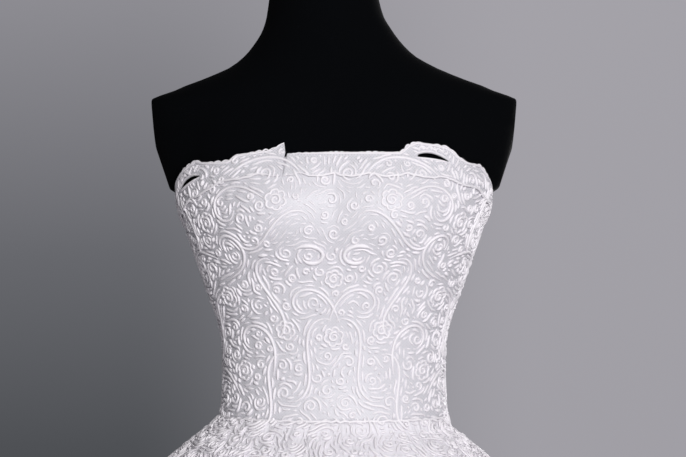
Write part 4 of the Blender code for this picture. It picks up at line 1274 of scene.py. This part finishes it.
def ringed_body(segments, ring_count, ring):
    """A closed body made from a cylinder, whose rings ring(number, angles) places."""
    bm = bmesh.new()
    bmesh.ops.create_cone(bm, cap_ends=True, segments=segments, radius1=1, radius2=1, depth=ring_count - 1)
    sides = [edge for edge in bm.edges if abs(edge.verts[0].co.z - edge.verts[1].co.z) > 0.5]
    bmesh.ops.subdivide_edges(bm, edges=sides, cuts=ring_count - 2)
    bm.verts.ensure_lookup_table()
    start = np.array([vertex.co for vertex in bm.verts])
    angles = np.arctan2(start[:, 0], -start[:, 1])
    levels = np.round(start[:, 2] + (ring_count - 1) / 2).astype(int)
    for number in range(ring_count):
        members = np.nonzero(levels == number)[0]
        for i, point in zip(members, ring(number, angles[members])):
            bm.verts[i].co = point
    return bm


def body_piece(name, bm, look, edge, edge_angle):
    """A closed body as a finished piece, its sharp edges eased."""
    bmesh.ops.recalc_face_normals(bm, faces=bm.faces)
    piece = finish_piece(name, mesh_from(name, bm), look)
    eased = piece.modifiers.new("eased edges", "BEVEL")
    eased.width = edge
    eased.segments = 2
    eased.limit_method = "ANGLE"
    eased.angle_limit = math.radians(edge_angle)
    return piece


def form_levels():
    """The form's rows as functions of the angle, the same as the solid model's but closer together."""
    heights = column(FIGURE, FIGURE_COLUMNS, "height")
    hips = np.linspace(heights[0], WAIST_SEAM_Z - 10 * MM, 14)
    neck = (*np.linspace(1.316, 1.354, 9), *np.linspace(1.359, heights[-1], 24))
    level = [[lambda angle, z=z: z + 0 * angle for z in part] for part in (hips, neck)]
    bodice_rows = [
        lambda angle, up=up: WAIST_SEAM_Z + (bodice_top_at(signed(angle)) - WAIST_SEAM_Z) * up
        for up in np.linspace(0, 1, 30)
    ]
    edge_rows = [
        lambda angle, rise=rise: border_top(signed(angle)) + rise * MM for rise in (0, 1.5, 4, 7, 10, 12.5)
    ]
    return level[0] + bodice_rows + edge_rows + level[1]


FORM_ROWS = form_levels()


def form_ring(number, angles):
    z = FORM_ROWS[number](angles)
    return round_points(form_radius(angles, z), angles, z, figure["lean"](z))


bm = ringed_body(FORM_ACROSS, len(FORM_ROWS), form_ring)
for side in (1, -1):
    top = Vector((side * PLATE_TOP[0], 0, PLATE_TOP[1]))
    foot = Vector((side * PLATE_FOOT[0], 0, PLATE_FOOT[1]))
    along = (top - foot).normalized()
    outwards = Vector((side * along.z, 0, -side * along.x))
    everything = bm.verts[:] + bm.edges[:] + bm.faces[:]
    cut = bmesh.ops.bisect_plane(bm, geom=everything, plane_co=foot, plane_no=outwards, clear_outer=True)
    rim = [item for item in cut["geom_cut"] if isinstance(item, bmesh.types.BMEdge)]
    bmesh.ops.contextual_create(bm, geom=rim)
form = body_piece("form_jersey", bm, JERSEY, 1.2 * MM, 50)
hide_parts("dress_form")
print("form faces:", len(form.data.polygons))

# %% The turned stand
# Each profile is a row of (radius, height) points in millimetres, from the foot up
PROFILES = {
    "stand_base": ((192, 0), (195, 3), (192, 10), (42, 14), (34, 38), (30, 42)),
    "stand_pole": ((16, 42.3), (16, 769.4)),
    "stand_socket": ((22, 769.7), (24, 791.7), (44, 794.7), (44, 799.7)),
    "neck_cap": ((53.5, 0), (54.5, 2), (51.5, 7), (33.5, 11), (9, 13), (7, 20), (11, 28), (7, 36), (0.6, 39)),
}
# The cap stands on the form's neck, a little to the viewer's left of the pole
CAP_X = FIGURE[-1][-1] / 1000
CAP_Z = FIGURE[-1][0] / 1000 + SEAM_GAP


def turned_piece(name, x=0.0, foot_z=0.0):
    """A piece turned from its profile, with its corners eased."""
    profile = PROFILES[name]

    def ring(number, angles):
        radius, height = profile[number]
        return round_points(radius * MM, angles, foot_z + height * MM, x)

    bm = ringed_body(64, len(profile), ring)
    piece = body_piece(name + "_finished", bm, POWDER_COAT, 0.9 * MM, 12)
    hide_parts(name)


for name in ("stand_base", "stand_pole", "stand_socket"):
    turned_piece(name)
turned_piece("neck_cap", CAP_X, CAP_Z)
for name in ("zip_slider", "zip_pull_tab"):
    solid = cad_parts[name]
    solid.data.materials.clear()
    solid.data.materials.append(ENAMEL)
print("turned:", list(PROFILES))

# %% [markdown]
# ## The zip
#
# The chain is a row of small nylon teeth, one from each side in turn, over a narrow tape.

# %% Zip tape and teeth
ZIP_TOP_Z = 1235 * MM
TOOTH_PITCH = 2.0 * MM
TOOTH_SIZE = (1.9 * MM, 1.0 * MM, 1.3 * MM)
TAPE_DEPTH = 0.9 * MM
TOOTH_DEPTH = 0.4 * MM


def zip_seat(z):
    """How far back the gown's outer face lies at the centre back."""
    return gown_points(math.pi, z)[1]


bm = bmesh.new()
for vertex in bmesh.ops.create_grid(bm, x_segments=1, y_segments=60, size=1)["verts"]:
    height = ZIP_FOOT_Z + (ZIP_TOP_Z - ZIP_FOOT_Z) * (vertex.co.y + 1) / 2
    vertex.co = (vertex.co.x * ZIP_HALF_WIDTH, zip_seat(height) - TAPE_DEPTH, height)
bmesh.ops.solidify(bm, geom=bm.faces[:], thickness=0.3 * MM)
z = ZIP_FOOT_Z + 2 * MM
side = -1
while z < ZIP_TOP_Z - 1 * MM:
    tooth = bmesh.ops.create_cube(bm, size=1)["verts"]
    bmesh.ops.scale(bm, vec=TOOTH_SIZE, verts=tooth)
    bmesh.ops.translate(bm, vec=(side * 0.45 * MM, zip_seat(z) - TOOTH_DEPTH, z), verts=tooth)
    z += TOOTH_PITCH / 2
    side = -side
bmesh.ops.recalc_face_normals(bm, faces=bm.faces)
zip_teeth = finish_piece("zip_teeth", mesh_from("zip_teeth", bm), ZIP_NYLON)
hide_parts("zip_chain")
print("zip faces:", len(zip_teeth.data.polygons))

# %% [markdown]
# ## What is cloth
#
# The cloth pieces are counted: the bodice, the skirt and the border strips.

print("cloths declared:", 2 + len(borders))

# %% [markdown]
# ## The studio
#
# The gown stands in front of a grey studio wall that is lit from the viewer's right, so the wall fades from
# light on the right to dark on the left. The wall is far off and out of focus, so the world's own colour
# plays its part. One large soft lamp at the front right lights the gown.

# %% World, floor and lamps
scene = bpy.context.scene
scene.world = bpy.data.worlds.new("studio")
scene.world.use_nodes = True
tree = scene.world.node_tree
direction = node(tree, "TexCoord", {}).outputs["Generated"]
parts = node(tree, "SeparateXYZ", {"Vector": direction}).outputs


def ramp(source, low, high, stops):
    """Colours along a value that runs from low to high."""
    share = node(tree, "MapRange", {"Value": source, "From Min": low, "From Max": high}).outputs["Result"]
    made = node(tree, "ValToRGB", {"Fac": share})
    elements = made.color_ramp.elements
    for i, (position, shade) in enumerate(stops):
        element = elements[i] if i < 2 else elements.new(position)
        element.position = position
        element.color = colour(shade)
    return made.outputs["Color"]


# The wall on the left fades downwards, and the wall on the right is evenly lit
LEFT_STOPS = ((0, "#2C2D30"), (1, "#A2A1A7"), (0.415, "#4E5054"), (0.49, "#67686D"), (0.585, "#8C8B91"))
left_wall = ramp(parts["Z"], -0.5, 0.5, LEFT_STOPS)
right_wall = ramp(parts["Z"], -1, 1, ((0, "#8E8C93"), (1, "#B4B2B8")))
span = {"Value": parts["X"], "From Min": -0.085, "From Max": 0.075}
across = node(tree, "MapRange", span, interpolation_type="SMOOTHSTEP").outputs["Result"]
wall = node(tree, "Mix", {0: across, 6: left_wall, 7: right_wall}, data_type="RGBA").outputs[2]
# Far to the left the studio is unlit, and so is its ceiling
unlit = {"Value": parts["X"], "From Min": -0.75, "From Max": -0.16, "To Min": 0.25}
ceiling = {"Value": parts["Z"], "From Min": 0.3, "From Max": 0.75, "To Min": 1, "To Max": 0.3}
for fading in (unlit, ceiling):
    share = node(tree, "MapRange", fading).outputs["Result"]
    wall = node(tree, "VectorMath", {"Vector": wall, "Scale": share}, operation="SCALE").outputs["Vector"]
set_inputs(tree, tree.nodes["Background"], {"Color": wall})

bm = bmesh.new()
bmesh.ops.create_circle(bm, cap_ends=True, segments=96, radius=10.5)
floor = new_object("studio_floor", mesh_from("studio_floor", bm))
floor.location.z = -0.001
floor.data.materials.append(make_look("studio_floor", ("#B9B8BC",), Roughness=0.85))
# Where each lamp stands, the height it aims at, its size and its power
LAMPS = {
    "key": ((0.58, -2.95, 1.85), 1.12, 0.9, 74),
    "fill": ((-2.2, -2.8, 1.2), 1.1, 1.8, 4),
    "back": ((1.5, 2.8, 1.3), 1.1, 1.6, 40),
}
for name, (at, aim_z, size, watts) in LAMPS.items():
    data = bpy.data.lights.new(name, "AREA")
    data.size = size
    data.energy = watts
    lamp = new_object(name, data)
    lamp.location = at
    lamp.rotation_euler = (Vector((0, 0, aim_z)) - Vector(at)).to_track_quat("-Z", "Y").to_euler()
scene.view_settings.view_transform = "Standard"
print("world and lamps:", [made.name for made in bpy.data.lights])
